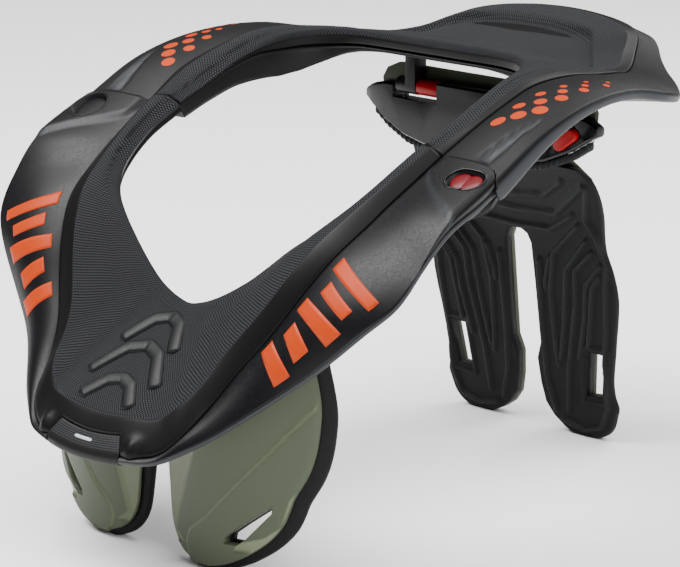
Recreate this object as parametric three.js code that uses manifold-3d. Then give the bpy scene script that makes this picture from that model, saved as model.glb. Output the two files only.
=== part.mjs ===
// Motocross neck brace: a two-part collar with foam pads, two chest plates and a ribbed back plate.
// Millimetres, +Z up. The wearer's left is +X and the chest is towards -Y.
// It is built about the hinge line (y = 0) and then moved so that the origin is the middle of its footprint.
import * as THREE from 'three';
import { mergeVertices } from 'three/addons/utils/BufferGeometryUtils.js';
import Module from 'manifold-3d';

const wasm = await Module();
wasm.setup();

// Driving sizes of the collar
const neckHalfWidth = 84;      // half the clear width between the pads
const neckFront = 52.4;        // front edge of the neck opening, ahead of the hinge line
const neckBack = 120.4;        // back edge of the neck opening, behind the hinge line
const chinReach = 123.5;       // lowest front edge, ahead of the hinge line
const backReach = 233;         // back edge, behind the hinge line
const hingeHeight = 188.3;     // hinge cap above the floor
const padWidth = 16.5;         // pad from its crest to the seam, at the hinge
const bandWidth = 40;          // hard band from the seam to the rim, at the hinge

// Sections of the collar
const fitGap = 0.3;            // clearance between pieces that rest on each other
const padProud = 0.8;          // pad edge above the hard band
const padEdge = 2.4;           // depth of the pad edge in its rebate
const padRise = 6;             // top of the pad bevel above the seam
const trayThick = 2.6;         // shell under the pad
const lipHeight = 2.4;         // light lip along the lower rim
const grooveDepth = 1.1;       // groove above the lip
const rimHeight = 12;          // rear rim at the hinge blocks

// Hinge and latch
const pinInset = 11.5;         // hinge pin and latch in from the outer edge of the band
const hingeX = neckHalfWidth + padWidth + bandWidth - pinInset;
const armTilt = THREE.MathUtils.degToRad(30.3);
const earThick = 8;            // front ear above the rear tongue
const tongueThick = 4;
const tongueRadius = 10.5;
const seamRadius = 13.2;       // round end of the ear about the pin
const seamGap = 0.4;
const pinRadius = 4.5;
const capRadius = 8.8;
const capThick = 1.8;
const capRecess = 2.4;
const buttonRadius = 5.9;      // each circle of the release button
const buttonPitch = 6.4;       // between the two circles
const buttonThick = 4.2;
const buttonFloor = 1.6;       // ear left under the button
const buttonTravel = 2;

// Tab at the chin
const tabHalfWidth = 25;
const tabDepth = 9;            // up the nose bevel from the seam
const tabLip = 3;              // rolled lip ahead of the seam
const tabDrop = 4.8;           // lower edge of the lip below the seam
const tabTaper = 0.2;          // narrowing from the seam to the back of the tab

// Chest plates
const chestPlateThick = 3.4;
const chestFoamThick = 4.5;
const plateSeat = 0.5;         // glue line between plate and foam
const chestFoamBorder = 3.4;   // foam seen round the plate
const chestBulge = 77;         // foremost line of the foam, ahead of the hinge line
const chestBulgeX = 32;
const chestRadius = 85;        // radius of the plates round the chest
const chestChamfer = 1.2;

// Back plate and its foam
const legTipY = 204.5;         // front face of the feet, behind the hinge line
const legLean = THREE.MathUtils.degToRad(8);   // legs lean forward towards the top
const backPlateThick = 2.8;
const backPadThick = 6;
const backPlateInset = 3;      // plate inside the outline of its foam
const backChamfer = 1.2;

// Yoke and pivot of the back plate
const pivotY = 155;
const pivotRise = 1.7;         // pivot above the hinge
const pivotHeight = hingeHeight + pivotRise;
const pinRodRadius = 2.2;
const barrelRadius = 4.6;
const barrelInner = 40;
const barrelOuter = 54;
const lugWidth = 7;
const sleeveRadius = 4.4;
const sleeveLength = 15.2;
const notchOuter = 57;         // notch in the yoke round barrel and sleeve
const notchDepth = 7.2;        // floor of the notch below the pivot
const windowHeight = 5.5;      // window in the back plate behind the notch
const yokeBack = 161.6;        // rear face of the yoke
const yokeHalfWidth = 80;
const skirtHeight = 4.4;       // ribbed rubber under the yoke
const skirtFront = 154.5;
const capsuleLength = 16.5;
const capsuleRadius = 3.3;
const capsuleProud = 2.6;
const capsuleSeat = 2.4;       // part of the capsule inside the yoke
const capsuleTravel = 3;
const capsuleSlant = THREE.MathUtils.degToRad(37);
const capsuleX = 63;
const capsuleDrop = 13.6;      // middle of the capsule below the pivot

const steps = 2;               // loft steps between two table rows

// Rows run from the middle of the chin to the hinge and a little past it.
// crest: x, y, z of the pad's inner top edge as shares of neckHalfWidth, neckFront and hingeHeight.
// seam: x past the crest as a share of padWidth, y of chinReach and z of hingeHeight.
// rim: x past the seam as a share of bandWidth, y of chinReach and z of hingeHeight.
// bevel, wall: pad bevel width and inner wall, as shares of padWidth. rise, mid: shares of padRise.
// edge, bulge: height of the rim and swell of the band, as shares of earThick.
const frontRows = [
  { crest: [0, -1, 0.637], seam: [0, -0.994, 0.327], rim: [0, -1, 0.305],
    bevel: 1.09, rise: 1, mid: 0.7, wall: 0.85, edge: 0.42, bulge: 0.05 },
  { crest: [0.105, -0.995, 0.647], seam: [1.04, -0.98, 0.337], rim: [0.005, -0.985, 0.316],
    bevel: 1.09, rise: 1, mid: 0.7, wall: 0.85, edge: 0.42, bulge: 0.05 },
  { crest: [0.18, -0.985, 0.66], seam: [1.63, -0.928, 0.348], rim: [0.01, -0.934, 0.324],
    bevel: 1.03, rise: 1, mid: 0.7, wall: 0.95, edge: 0.44, bulge: 0.06 },
  { crest: [0.25, -0.972, 0.675], seam: [1.81, -0.87, 0.395], rim: [0.12, -0.858, 0.363],
    bevel: 0.91, rise: 1, mid: 0.75, wall: 1, edge: 0.48, bulge: 0.12 },
  { crest: [0.335, -0.945, 0.697], seam: [1.73, -0.755, 0.465], rim: [0.245, -0.782, 0.405],
    bevel: 0.8, rise: 1, mid: 0.8, wall: 1, edge: 0.5, bulge: 0.25 },
  { crest: [0.44, -0.903, 0.728], seam: [1.61, -0.657, 0.551], rim: [0.51, -0.656, 0.486],
    bevel: 0.75, rise: 1, mid: 0.85, wall: 1, edge: 0.5, bulge: 0.38 },
  { crest: [0.56, -0.86, 0.77], seam: [1.575, -0.581, 0.631], rim: [0.75, -0.575, 0.571],
    bevel: 0.7, rise: 1, mid: 0.9, wall: 0.85, edge: 0.5, bulge: 0.5 },
  { crest: [0.69, -0.8, 0.818], seam: [1.5, -0.497, 0.731], rim: [1.05, -0.498, 0.683],
    bevel: 0.66, rise: 1, mid: 0.95, wall: 0.78, edge: 0.5, bulge: 0.55 },
  { crest: [0.82, -0.69, 0.86], seam: [1.36, -0.383, 0.829], rim: [1.13, -0.43, 0.75],
    bevel: 0.6, rise: 0.92, mid: 1, wall: 0.65, edge: 0.4, bulge: 0.45 },
  { crest: [0.923, -0.5, 0.905], seam: [1.09, -0.235, 0.895], rim: [1.12, -0.324, 0.838],
    bevel: 0.55, rise: 0.85, mid: 1.05, wall: 0.4, edge: 0.37, bulge: 0.35 },
  { crest: [0.975, -0.25, 0.95], seam: [0.92, -0.134, 0.937], rim: [1.1, -0.194, 0.906],
    bevel: 0.48, rise: 0.82, mid: 1.08, wall: 0.3, edge: 0.78, bulge: 0.35 },
  { crest: [0.996, 0.02, 0.996], seam: [0.93, -0.005, 0.985], rim: [1.05, -0.032, 0.948],
    bevel: 0.42, rise: 0.78, mid: 1.08, wall: 0.28, edge: 1, bulge: 0.25 },
  { crest: [1, 0.353, 1.038], seam: [0.99, 0.12, 1.031], rim: [0.99, 0.122, 0.993],
    bevel: 0.36, rise: 0.78, mid: 1.08, wall: 0.28, edge: 1, bulge: 0.22 },
  { crest: [1, 0.65, 1.075], seam: [1.06, 0.235, 1.072], rim: [0.96, 0.24, 1.034],
    bevel: 0.36, rise: 0.78, mid: 1.08, wall: 0.28, edge: 1, bulge: 0.22 },
];

// Rows of the rear half run from the middle of the back to the hinge and a little past it.
// crest y is a share of neckBack, seam and rim y of backReach. The rim here is its upper edge.
// bevel, padWall and wall: shares of padWidth. rise, brim, dip, mid, near: shares of padRise, the heights
// of the pad above the line from seam to crest. edge: rim height as a share of rimHeight.
const rearRows = [
  { crest: [0, 1, 1.192], seam: [0, 0.972, 1.216], rim: [0, 1, 1.184],
    bevel: 0.5, rise: 0.3, brim: 0.2, dip: -0.3, mid: -0.38, near: -0.15, padWall: 0.53, wall: 0.14,
    edge: 0.42, bulge: 0 },
  { crest: [0.155, 1, 1.192], seam: [1.09, 0.968, 1.206], rim: [0.05, 0.991, 1.182],
    bevel: 0.5, rise: 0.35, brim: 0.25, dip: -0.25, mid: -0.36, near: -0.15, padWall: 0.53, wall: 0.14,
    edge: 0.42, bulge: 0 },
  { crest: [0.31, 0.999, 1.192], seam: [1.75, 0.94, 1.184], rim: [0.15, 0.966, 1.168],
    bevel: 0.55, rise: 0.25, brim: 0.2, dip: -0.2, mid: -0.3, near: -0.1, padWall: 0.53, wall: 0.14,
    edge: 0.42, bulge: 0.02 },
  { crest: [0.452, 0.997, 1.192], seam: [1.8, 0.865, 1.144], rim: [0.26, 0.897, 1.134],
    bevel: 0.62, rise: 0.1, brim: 0.05, dip: -0.15, mid: -0.15, near: 0, padWall: 0.53, wall: 0.14,
    edge: 0.42, bulge: 0.02 },
  { crest: [0.595, 0.988, 1.192], seam: [1.64, 0.803, 1.124], rim: [0.37, 0.846, 1.112],
    bevel: 0.62, rise: 0.15, brim: 0.1, dip: -0.05, mid: -0.05, near: 0.05, padWall: 0.53, wall: 0.2,
    edge: 0.42, bulge: 0.03 },
  { crest: [0.714, 0.968, 1.191], seam: [1.52, 0.738, 1.122], rim: [0.575, 0.785, 1.102],
    bevel: 0.6, rise: 0.2, brim: 0.15, dip: 0.05, mid: 0.05, near: 0.1, padWall: 0.55, wall: 0.3,
    edge: 0.43, bulge: 0.06 },
  { crest: [0.821, 0.918, 1.189], seam: [1.4, 0.678, 1.136], rim: [0.825, 0.7, 1.102],
    bevel: 0.5, rise: 0.3, brim: 0.3, dip: 0.3, mid: 0.25, near: 0.2, padWall: 0.55, wall: 0.55,
    edge: 0.44, bulge: 0.15 },
  { crest: [0.905, 0.832, 1.184], seam: [1.28, 0.58, 1.15], rim: [0.91, 0.612, 1.125],
    bevel: 0.45, rise: 0.35, brim: 0.4, dip: 0.42, mid: 0.4, near: 0.3, padWall: 0.52, wall: 0.8,
    edge: 0.45, bulge: 0.3 },
  { crest: [0.952, 0.74, 1.176], seam: [1.19, 0.467, 1.167], rim: [0.86, 0.515, 1.15],
    bevel: 0.38, rise: 0.4, brim: 0.5, dip: 0.55, mid: 0.55, near: 0.4, padWall: 0.48, wall: 0.87,
    edge: 0.46, bulge: 0.4 },
  { crest: [0.982, 0.631, 1.158], seam: [1.11, 0.345, 1.163], rim: [0.905, 0.399, 1.158],
    bevel: 0.36, rise: 0.5, brim: 0.65, dip: 0.75, mid: 0.72, near: 0.5, padWall: 0.3, wall: 0.85,
    edge: 0.47, bulge: 0.4 },
  { crest: [1, 0.49, 1.127], seam: [1.11, 0.2575, 1.1365], rim: [0.92, 0.282, 1.141],
    bevel: 0.32, rise: 0.4, brim: 0.55, dip: 0.65, mid: 0.65, near: 0.48, padWall: 0.2, wall: 0.7,
    edge: 0.55, bulge: 0.35 },
  { crest: [1, 0.316, 1.078], seam: [1.17, 0.168, 1.1], rim: [0.93, 0.1635, 1.099],
    bevel: 0.3, rise: 0.35, brim: 0.5, dip: 0.6, mid: 0.6, near: 0.45, padWall: 0.15, wall: 0.55,
    edge: 0.75, bulge: 0.3 },
  { crest: [1, 0.154, 1.038], seam: [0.99, 0.0635, 1.031], rim: [1.015, 0.0476, 1.028],
    bevel: 0.3, rise: 0.5, brim: 0.62, dip: 0.7, mid: 0.68, near: 0.5, padWall: 0.15, wall: 0.54,
    edge: 1, bulge: 0.22 },
  { crest: [0.996, 0.009, 0.996], seam: [0.93, -0.003, 0.985], rim: [1.055, -0.03, 0.982],
    bevel: 0.3, rise: 0.5, brim: 0.62, dip: 0.7, mid: 0.68, near: 0.5, padWall: 0.15, wall: 0.54,
    edge: 1, bulge: 0.22 },
];

// Rows of a chest plate's foam from the foot up: z as a share of hingeHeight, inner and outer x of hingeX
const chestRows = [
  { z: 0, inner: 0.215, outer: 0.33 }, { z: 0.021, inner: 0.145, outer: 0.43 },
  { z: 0.053, inner: 0.1, outer: 0.51 }, { z: 0.09, inner: 0.075, outer: 0.575 },
  { z: 0.133, inner: 0.063, outer: 0.623 }, { z: 0.175, inner: 0.055, outer: 0.648 },
  { z: 0.202, inner: 0.05, outer: 0.66 }, { z: 0.266, inner: 0.043, outer: 0.705 },
  { z: 0.32, inner: 0.039, outer: 0.727 }, { z: 0.38, inner: 0.039, outer: 0.739 },
  { z: 0.45, inner: 0.039, outer: 0.743 }, { z: 0.56, inner: 0.046, outer: 0.72 },
  { z: 0.62, inner: 0.05, outer: 0.705 },
];
// Slot of a chest plate: x as a share of hingeX and z of hingeHeight
const chestSlot = [
  [0.578, 0.205], [0.57, 0.182], [0.48, 0.11], [0.44, 0.087], [0.385, 0.087], [0.39, 0.103], [0.46, 0.142],
];

// Rows of the back foam from the feet up: z as a share of hingeHeight, half width of hingeX,
// drop: how far the face stands ahead of the leaning line of the legs, as a share of legTipY.
const backRows = [
  { z: 0, half: 0.35, drop: 0 }, { z: 0.016, half: 0.4, drop: 0 }, { z: 0.042, half: 0.435, drop: 0 },
  { z: 0.08, half: 0.455, drop: 0 }, { z: 0.106, half: 0.465, drop: 0 }, { z: 0.138, half: 0.45, drop: 0 },
  { z: 0.18, half: 0.446, drop: 0 }, { z: 0.223, half: 0.454, drop: 0 }, { z: 0.266, half: 0.465, drop: 0 },
  { z: 0.32, half: 0.477, drop: 0 }, { z: 0.382, half: 0.492, drop: 0 }, { z: 0.446, half: 0.5, drop: 0 },
  { z: 0.52, half: 0.482, drop: 0 }, { z: 0.573, half: 0.455, drop: 0 },
  { z: 0.62, half: 0.452, drop: 0.002 },
  { z: 0.68, half: 0.468, drop: 0.012 }, { z: 0.745, half: 0.482, drop: 0.033 },
  { z: 0.8, half: 0.475, drop: 0.055 }, { z: 0.84, half: 0.44, drop: 0.079 },
];
// Rows of the back plate above its foam, the head that carries the yoke; face: front face y of legTipY
const headRows = [
  { z: 0.856, half: 0.39, face: 0.836 }, { z: 0.88, half: 0.375, face: 0.8215 },
  { z: 0.9, half: 0.49, face: 0.809 }, { z: 0.925, half: 0.55, face: 0.799 },
  { z: 0.965, half: 0.572, face: 0.793 }, { z: 1.01, half: 0.58, face: 0.792 },
  { z: 1.04, half: 0.555, face: 0.793 }, { z: 1.06, half: 0.49, face: 0.795 },
];
// Half outline of the gap between the legs from the floor up: x as a share of hingeX, z of hingeHeight
const legGap = [
  [0.3, -0.06], [0.232, 0], [0.185, 0.016], [0.132, 0.042], [0.09, 0.08], [0.07, 0.138], [0.06, 0.213],
  [0.084, 0.262], [0.079, 0.45], [0.073, 0.565], [0.055, 0.592], [0.025, 0.604],
];
// Slot low in each leg: x as a share of hingeX and z of hingeHeight
const legSlot = [[0.315, 0.128], [0.4, 0.134], [0.425, 0.268], [0.34, 0.268]];

// Rows of the yoke from its middle to a wing tip: x as a share of yokeHalfWidth,
// foot, top: z as shares of pivotHeight, front: y as a share of pivotY
const yokeRows = [
  { x: 0, foot: 0.842, top: 1.024, front: 0.968 }, { x: 0.415, foot: 0.842, top: 1.024, front: 0.968 },
  { x: 0.61, foot: 0.858, top: 1.005, front: 0.974 }, { x: 0.8, foot: 0.893, top: 1, front: 0.982 },
  { x: 0.92, foot: 0.925, top: 0.99, front: 0.99 }, { x: 1, foot: 0.944, top: 0.972, front: 1.003 },
];

const materialOf = (color, roughness, metalness = 0) =>
  new THREE.MeshStandardMaterial({ color, roughness, metalness });
const satinBlack = 0x17171a;
const foamGrey = 0x3a3a3d;
const olive = 0x6f7362;
const blackFoam = 0x1d1d1f;
const glossRed = 0xa3101c;

const farAway = 80;            // reach of cutting bodies past what they cut
const chestRange = [-160, 0];  // y between which a cut goes through a chest plate
const backRange = [80, 320];
const group = new THREE.Group();
const addNode = (name, geometry, material) => {
  const mesh = new THREE.Mesh(geometry, material);
  mesh.name = name;
  group.add(mesh);
  return mesh;
};

const vec = (x, y, z) => new THREE.Vector3(x, y, z);

// Solids and plain geometries

function toSolid(geometry) {
  const plain = new THREE.BufferGeometry();
  plain.setAttribute('position', geometry.getAttribute('position').clone());
  if (geometry.index) plain.setIndex(geometry.index.clone());
  const merged = mergeVertices(plain, 1e-4);
  return new wasm.Manifold(new wasm.Mesh({
    numProp: 3,
    vertProperties: new Float32Array(merged.getAttribute('position').array),
    triVerts: new Uint32Array(merged.index.array),
  }));
}

function toGeometry(solid) {
  const mesh = solid.getMesh();
  const geometry = new THREE.BufferGeometry();
  geometry.setAttribute('position', new THREE.BufferAttribute(new Float32Array(mesh.vertProperties), 3));
  geometry.setIndex(new THREE.BufferAttribute(new Uint32Array(mesh.triVerts), 1));
  geometry.computeVertexNormals();
  return geometry;
}

// Closed mesh through rings with the same number of points; caps are cut in each end ring's own plane.
function loftRings(rings) {
  const count = rings[0].length;
  const positions = rings.flat().flatMap((p) => [p.x, p.y, p.z]);
  const index = [];
  for (let r = 0; r + 1 < rings.length; r += 1) {
    for (let i = 0; i < count; i += 1) {
      const a = r * count + i;
      const b = r * count + ((i + 1) % count);
      index.push(a, b, b + count, a, b + count, a + count);
    }
  }
  [0, rings.length - 1].forEach((r) => {
    const ring = rings[r];
    const normal = vec(0, 0, 0);
    ring.forEach((p, i) => {
      const q = ring[(i + 1) % count];
      normal.add(vec((p.y - q.y) * (p.z + q.z), (p.z - q.z) * (p.x + q.x), (p.x - q.x) * (p.y + q.y)));
    });
    normal.normalize();
    const along = ring[1].clone().sub(ring[0]).projectOnPlane(normal).normalize();
    const across = normal.clone().cross(along);
    const flat = ring.map((p) => new THREE.Vector2(p.dot(along), p.dot(across)));
    THREE.ShapeUtils.triangulateShape(flat, []).forEach(([a, b, c]) => {
      const face = [a, b, c].map((i) => i + r * count);
      index.push(...(r === 0 ? face.reverse() : face));
    });
  });
  const geometry = new THREE.BufferGeometry();
  geometry.setAttribute('position', new THREE.Float32BufferAttribute(positions, 3));
  geometry.setIndex(index);
  return geometry;
}

// A loft whose faces may look inwards is turned the right way round.
function loftSolid(rings) {
  const solid = toSolid(loftRings(rings));
  return solid.volume() > 0 ? solid : toSolid(loftRings([...rings].reverse()));
}

function prism(points, low, high, matrix) {
  const shape = new THREE.Shape(points.map(([x, y]) => new THREE.Vector2(x, y)));
  const geometry = new THREE.ExtrudeGeometry(shape, { depth: high - low, bevelEnabled: false });
  geometry.translate(0, 0, low);
  geometry.applyMatrix4(matrix);
  return toSolid(geometry);
}

// Stations along the collar

const between = (rows, key, t) => {
  const at = Math.min(t * (rows.length - 1), rows.length - 1.000001);
  const low = Math.floor(at);
  return THREE.MathUtils.lerp(rows[low][key], rows[low + 1][key], at - low);
};

// Full-width curves through the table rows, from the wearer's right (-X) to the left (+X)
function collarStations(rows, keys, opening, reach) {
  const crest = rows.map(({ crest: c }) => vec(c[0] * neckHalfWidth, c[1] * opening, c[2] * hingeHeight));
  const beside = (points, key, width) => rows.map(({ [key]: [x, y, z] }, i) =>
    vec(points[i].x + x * width, y * reach, z * hingeHeight));
  const seam = beside(crest, 'seam', padWidth);
  const rim = beside(seam, 'rim', bandWidth);
  const mirrored = (points) => {
    const left = points.slice(1);
    const right = left.map((p) => vec(-p.x, p.y, p.z)).reverse();
    return new THREE.CatmullRomCurve3([...right, points[0], ...left], false, 'centripetal');
  };
  const curves = [crest, seam, rim].map(mirrored);
  const count = 2 * (rows.length - 1) * steps;
  return Array.from({ length: count + 1 }, (_, i) => {
    const t = i / count;
    const [c, s, o] = curves.map((curve) => curve.getPoint(t));
    const ahead = curves[1].getPoint(Math.min(1, t + 0.5 / count));
    const behind = curves[1].getPoint(Math.max(0, t - 0.5 / count));
    const tangent = ahead.sub(behind).normalize();
    const upright = (direction) => {
      const normal = direction.clone().cross(tangent).normalize();
      return normal.z < 0 ? normal.negate() : normal;
    };
    const inward = c.clone().sub(s).normalize();
    const up = upright(inward);
    const down = vec(0, 0, -1);
    const outward = o.clone().sub(s).normalize();
    const share = Math.abs(2 * t - 1);
    const values = Object.fromEntries(keys.map((key) => [key, between(rows, key, share)]));
    return {
      ...values, crest: c, seam: s, rim: o, inward, outward, up, down,
      length: c.distanceTo(s), upBand: upright(c.clone().sub(o)),
    };
  });
}

const frontKeys = ['bevel', 'rise', 'mid', 'wall', 'edge', 'bulge'];
const rearKeys = ['bevel', 'rise', 'brim', 'dip', 'mid', 'near', 'padWall', 'wall', 'edge', 'bulge'];
const frontStations = collarStations(frontRows, frontKeys, neckFront, chinReach);
const rearStations = collarStations(rearRows, rearKeys, neckBack, backReach);

const at = (base, ...moves) =>
  moves.reduce((p, [direction, d]) => p.addScaledVector(direction, d), base.clone());

// Corner points that the pad and the tray under it share
function padFoot(s, wall) {
  return {
    outer: at(s.seam, [s.inward, fitGap], [s.up, -padEdge]),
    inner: at(s.crest, [s.down, wall], [s.inward, 0.6]),
  };
}

// Room for a pad in its shell: the pad's underside lowered by the fit gap, open above
function padRoom(s, wall) {
  const foot = padFoot(s, wall);
  const clear = 14;
  return [
    at(s.seam, [s.up, -padEdge - fitGap]),
    at(s.seam, [s.up, clear]),
    at(s.crest, [s.inward, clear / 2], [s.up, clear]),
    at(foot.inner, [s.inward, clear / 2], [s.down, fitGap]),
    at(foot.inner, [s.down, fitGap]),
  ];
}

const crestShoulder = (s) => Math.min(7, s.length * 0.16);

function frontPadRing(s) {
  const wall = s.wall * padWidth;
  const foot = padFoot(s, wall);
  const bevel = s.bevel * padWidth;
  const rise = s.rise * padRise;
  const shoulder = crestShoulder(s);
  const rest = s.length - bevel;
  return [
    foot.outer,
    at(s.seam, [s.inward, fitGap], [s.up, padProud]),
    at(s.seam, [s.inward, bevel * 0.5], [s.up, rise * 0.66]),
    at(s.seam, [s.inward, bevel], [s.up, rise]),
    at(s.seam, [s.inward, bevel + rest * 0.33], [s.up, rise * (s.mid + 1) / 2]),
    at(s.seam, [s.inward, bevel + rest * 0.66], [s.up, rise * s.mid * 0.82]),
    at(s.crest, [s.inward, -shoulder], [s.up, rise * s.mid * 0.45]),
    s.crest.clone(),
    at(s.crest, [s.inward, 1.8], [s.down, wall * 0.35]),
    foot.inner,
  ];
}

function rearPadRing(s) {
  const wall = s.padWall * padWidth;
  const foot = padFoot(s, wall);
  const bevel = s.bevel * padWidth;
  const rest = s.length - bevel;
  const top = (share, height) => at(s.seam, [s.inward, bevel + rest * share], [s.up, height * padRise]);
  return [
    foot.outer,
    at(s.seam, [s.inward, fitGap], [s.up, padProud]),
    at(s.seam, [s.inward, bevel * 0.5], [s.up, s.rise * padRise * 0.7]),
    top(0, s.rise),
    top(0.2, s.brim),
    top(0.27, s.dip),
    top(0.5, s.mid),
    top(0.76, s.near),
    at(s.crest, [s.inward, -crestShoulder(s)], [s.up, s.near * padRise * 0.6]),
    s.crest.clone(),
    at(s.crest, [s.inward, 1.6], [s.down, wall * 0.5]),
    foot.inner,
  ];
}

// Everything above an underside, lowered by the fit gap: cuts the tops of pieces that stand under it
function aboveUnder(points) {
  const raised = points.map((p) => at(p, [vec(0, 0, 1), farAway]));
  return [...points.map((p) => at(p, [vec(0, 0, 1), -fitGap])), ...raised.reverse()];
}

function bandTop(s, rimTop) {
  const across = rimTop.clone().sub(s.seam);
  return [0.14, 0.4, 0.68, 0.9].map((share) => {
    const swell = s.bulge * earThick * Math.sin(Math.PI * Math.min(1, share * 1.02)) ** 0.8;
    return at(s.seam, [across, share], [s.upBand, swell]);
  });
}

// Underside of each shell from its rim to the foot of the pad's inner wall
function frontUnder(s) {
  const foot = padFoot(s, s.wall * padWidth);
  return [
    s.rim.clone(),
    at(s.rim, [s.outward, -3]),
    at(s.seam, [s.up, -padEdge - fitGap - trayThick]),
    at(foot.inner, [s.down, fitGap + trayThick]),
  ];
}

function rearUnder(s) {
  const foot = padFoot(s, s.padWall * padWidth);
  const deep = s.wall * padWidth;
  return [
    at(s.rim, [s.upBand, -s.edge * rimHeight], [s.outward, -1.4]),
    at(s.seam, [s.up, -padEdge - fitGap - Math.max(trayThick, deep * 0.75)]),
    at(foot.inner, [s.down, fitGap + deep]),
  ];
}

function frontShellRing(s) {
  const foot = padFoot(s, s.wall * padWidth);
  const rimTop = at(s.rim, [s.upBand, s.edge * earThick]);
  return [
    s.seam.clone(),
    ...bandTop(s, rimTop),
    rimTop,
    at(s.rim, [s.upBand, lipHeight + grooveDepth * 0.4], [s.outward, -grooveDepth]),
    at(s.rim, [s.upBand, lipHeight]),
    ...frontUnder(s),
    at(foot.inner, [s.down, -1]),
  ];
}

function rearShellRing(s) {
  const foot = padFoot(s, s.padWall * padWidth);
  const edge = s.edge * rimHeight;
  return [
    s.seam.clone(),
    ...bandTop(s, s.rim),
    s.rim.clone(),
    at(s.rim, [s.upBand, -edge * 0.35], [s.outward, 1.2]),
    at(s.rim, [s.upBand, -edge * 0.8], [s.outward, 0.9]),
    ...rearUnder(s),
    at(foot.inner, [s.down, -1]),
  ];
}

// Hinge and latch: both stand on one axis direction, square to the slope of the arms.
const hingeNormal = vec(0, -Math.sin(armTilt), Math.cos(armTilt));
const armBack = vec(0, Math.cos(armTilt), Math.sin(armTilt));

// Frame at a hinge: first axis outward, second backward along the arm, third out of the surface
function hingeFrame(side) {
  const outward = vec(side, 0, 0);
  const matrix = new THREE.Matrix4().makeBasis(outward, armBack, hingeNormal);
  return matrix.setPosition(side * hingeX, 0, hingeHeight);
}

// A prism in the hinge frame; the wearer's right is the mirror image of the left.
function hingePrism(side, points, low, high) {
  const turned = side > 0 ? points : points.map(([x, y]) => [-x, y]);
  const frame = hingeFrame(1).setPosition(side * hingeX, 0, hingeHeight);
  return prism(turned, low, high, frame);
}

const arcPoints = (radius, from, to, count, [cx, cy] = [0, 0]) =>
  Array.from({ length: count + 1 }, (_, i) => {
    const angle = THREE.MathUtils.degToRad(THREE.MathUtils.lerp(from, to, i / count));
    return [cx + radius * Math.cos(angle), cy + radius * Math.sin(angle)];
  });

const seamInner = hingeX - neckHalfWidth;
// Seam line across the arm: round about the pin outside, then slanting back towards the pad
function seamLine(clearance) {
  const radius = seamRadius + clearance;
  return [
    [farAway, 0], ...arcPoints(radius, 0, 88, 10), [-0.62 * seamInner, 1.18 * seamRadius + clearance],
    [-seamInner, 1.45 * seamRadius + clearance], [-farAway, 1.45 * seamRadius + clearance],
  ];
}
const behindSeam = (clearance) => [...seamLine(clearance), [-farAway, farAway], [farAway, farAway]];
const aheadOfSeam = (clearance) => [...seamLine(clearance), [-farAway, -farAway], [farAway, -farAway]];

const tongueOutline = [
  ...arcPoints(tongueRadius, -180, 0, 14), [tongueRadius * 0.86, seamRadius * 0.6],
  [tongueRadius * 0.86, seamRadius * 1.7], [-tongueRadius, seamRadius * 1.7],
];
const pocketRadius = tongueRadius + 1;
const pocketOutline = [
  ...arcPoints(pocketRadius, -180, 0, 14), [farAway / 2, 0], [farAway / 2, farAway / 2],
  [-pocketRadius, farAway / 2],
];
const circle = (radius, count = 24) => arcPoints(radius, 0, 360 - 360 / count, count - 1);

// Two overlapping circles, as one outline
function peanut(grow) {
  const radius = buttonRadius + grow;
  const half = buttonPitch / 2;
  const waist = THREE.MathUtils.radToDeg(Math.acos(half / radius));
  const right = arcPoints(radius, waist - 180, 180 - waist, 16, [half, 0]);
  return [...right, ...arcPoints(radius, waist, 360 - waist, 16, [-half, 0]).slice(1, -1)];
}

const sides = [['right', -1], ['left', 1]];
const pinSide = -1;            // the hinge pin is on the wearer's right, the release button on the left

function buildFrontShell() {
  let solid = loftSolid(frontStations.map(frontShellRing));
  solid = solid.subtract(loftSolid(frontStations.map((s) => padRoom(s, s.wall * padWidth))));
  sides.forEach(([, side]) => {
    solid = solid.subtract(hingePrism(side, behindSeam(0), -farAway, farAway));
    solid = solid.subtract(hingePrism(side, pocketOutline, -farAway, -earThick));
  });
  solid = solid.subtract(hingePrism(pinSide, circle(capRadius + fitGap, 28), -capRecess, farAway / 4));
  solid = solid.subtract(hingePrism(pinSide, circle(pinRadius + fitGap, 20), -farAway / 2, 0));
  solid = solid.subtract(hingePrism(-pinSide, peanut(fitGap), -earThick + buttonFloor, farAway / 4));
  return solid;
}

function buildFrontPad() {
  let solid = loftSolid(frontStations.map(frontPadRing));
  sides.forEach(([, side]) => {
    solid = solid.subtract(hingePrism(side, behindSeam(0), -farAway, farAway));
  });
  return solid;
}

function buildRearShell() {
  let solid = loftSolid(rearStations.map(rearShellRing));
  solid = solid.subtract(loftSolid(rearStations.map((s) => padRoom(s, s.padWall * padWidth))));
  sides.forEach(([, side]) => {
    solid = solid.subtract(hingePrism(side, aheadOfSeam(seamGap), -farAway, farAway));
    const top = -earThick - fitGap;
    solid = solid.add(hingePrism(side, tongueOutline, top - tongueThick, top));
  });
  return solid.add(hingePrism(pinSide, circle(pinRadius, 20), -earThick - 1, -capRecess - fitGap));
}

function buildRearPad() {
  let solid = loftSolid(rearStations.map(rearPadRing));
  sides.forEach(([, side]) => {
    solid = solid.subtract(hingePrism(side, aheadOfSeam(seamGap * 2), -farAway, farAway));
  });
  return solid;
}

// Tab at the chin

// Point of the seam at a given x near the chin
function seamAtChin(x) {
  const i = frontStations.findIndex((s) => s.seam.x >= x);
  const [low, high] = [frontStations[i - 1].seam, frontStations[i].seam];
  return low.clone().lerp(high, (x - low.x) / (high.x - low.x));
}

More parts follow.
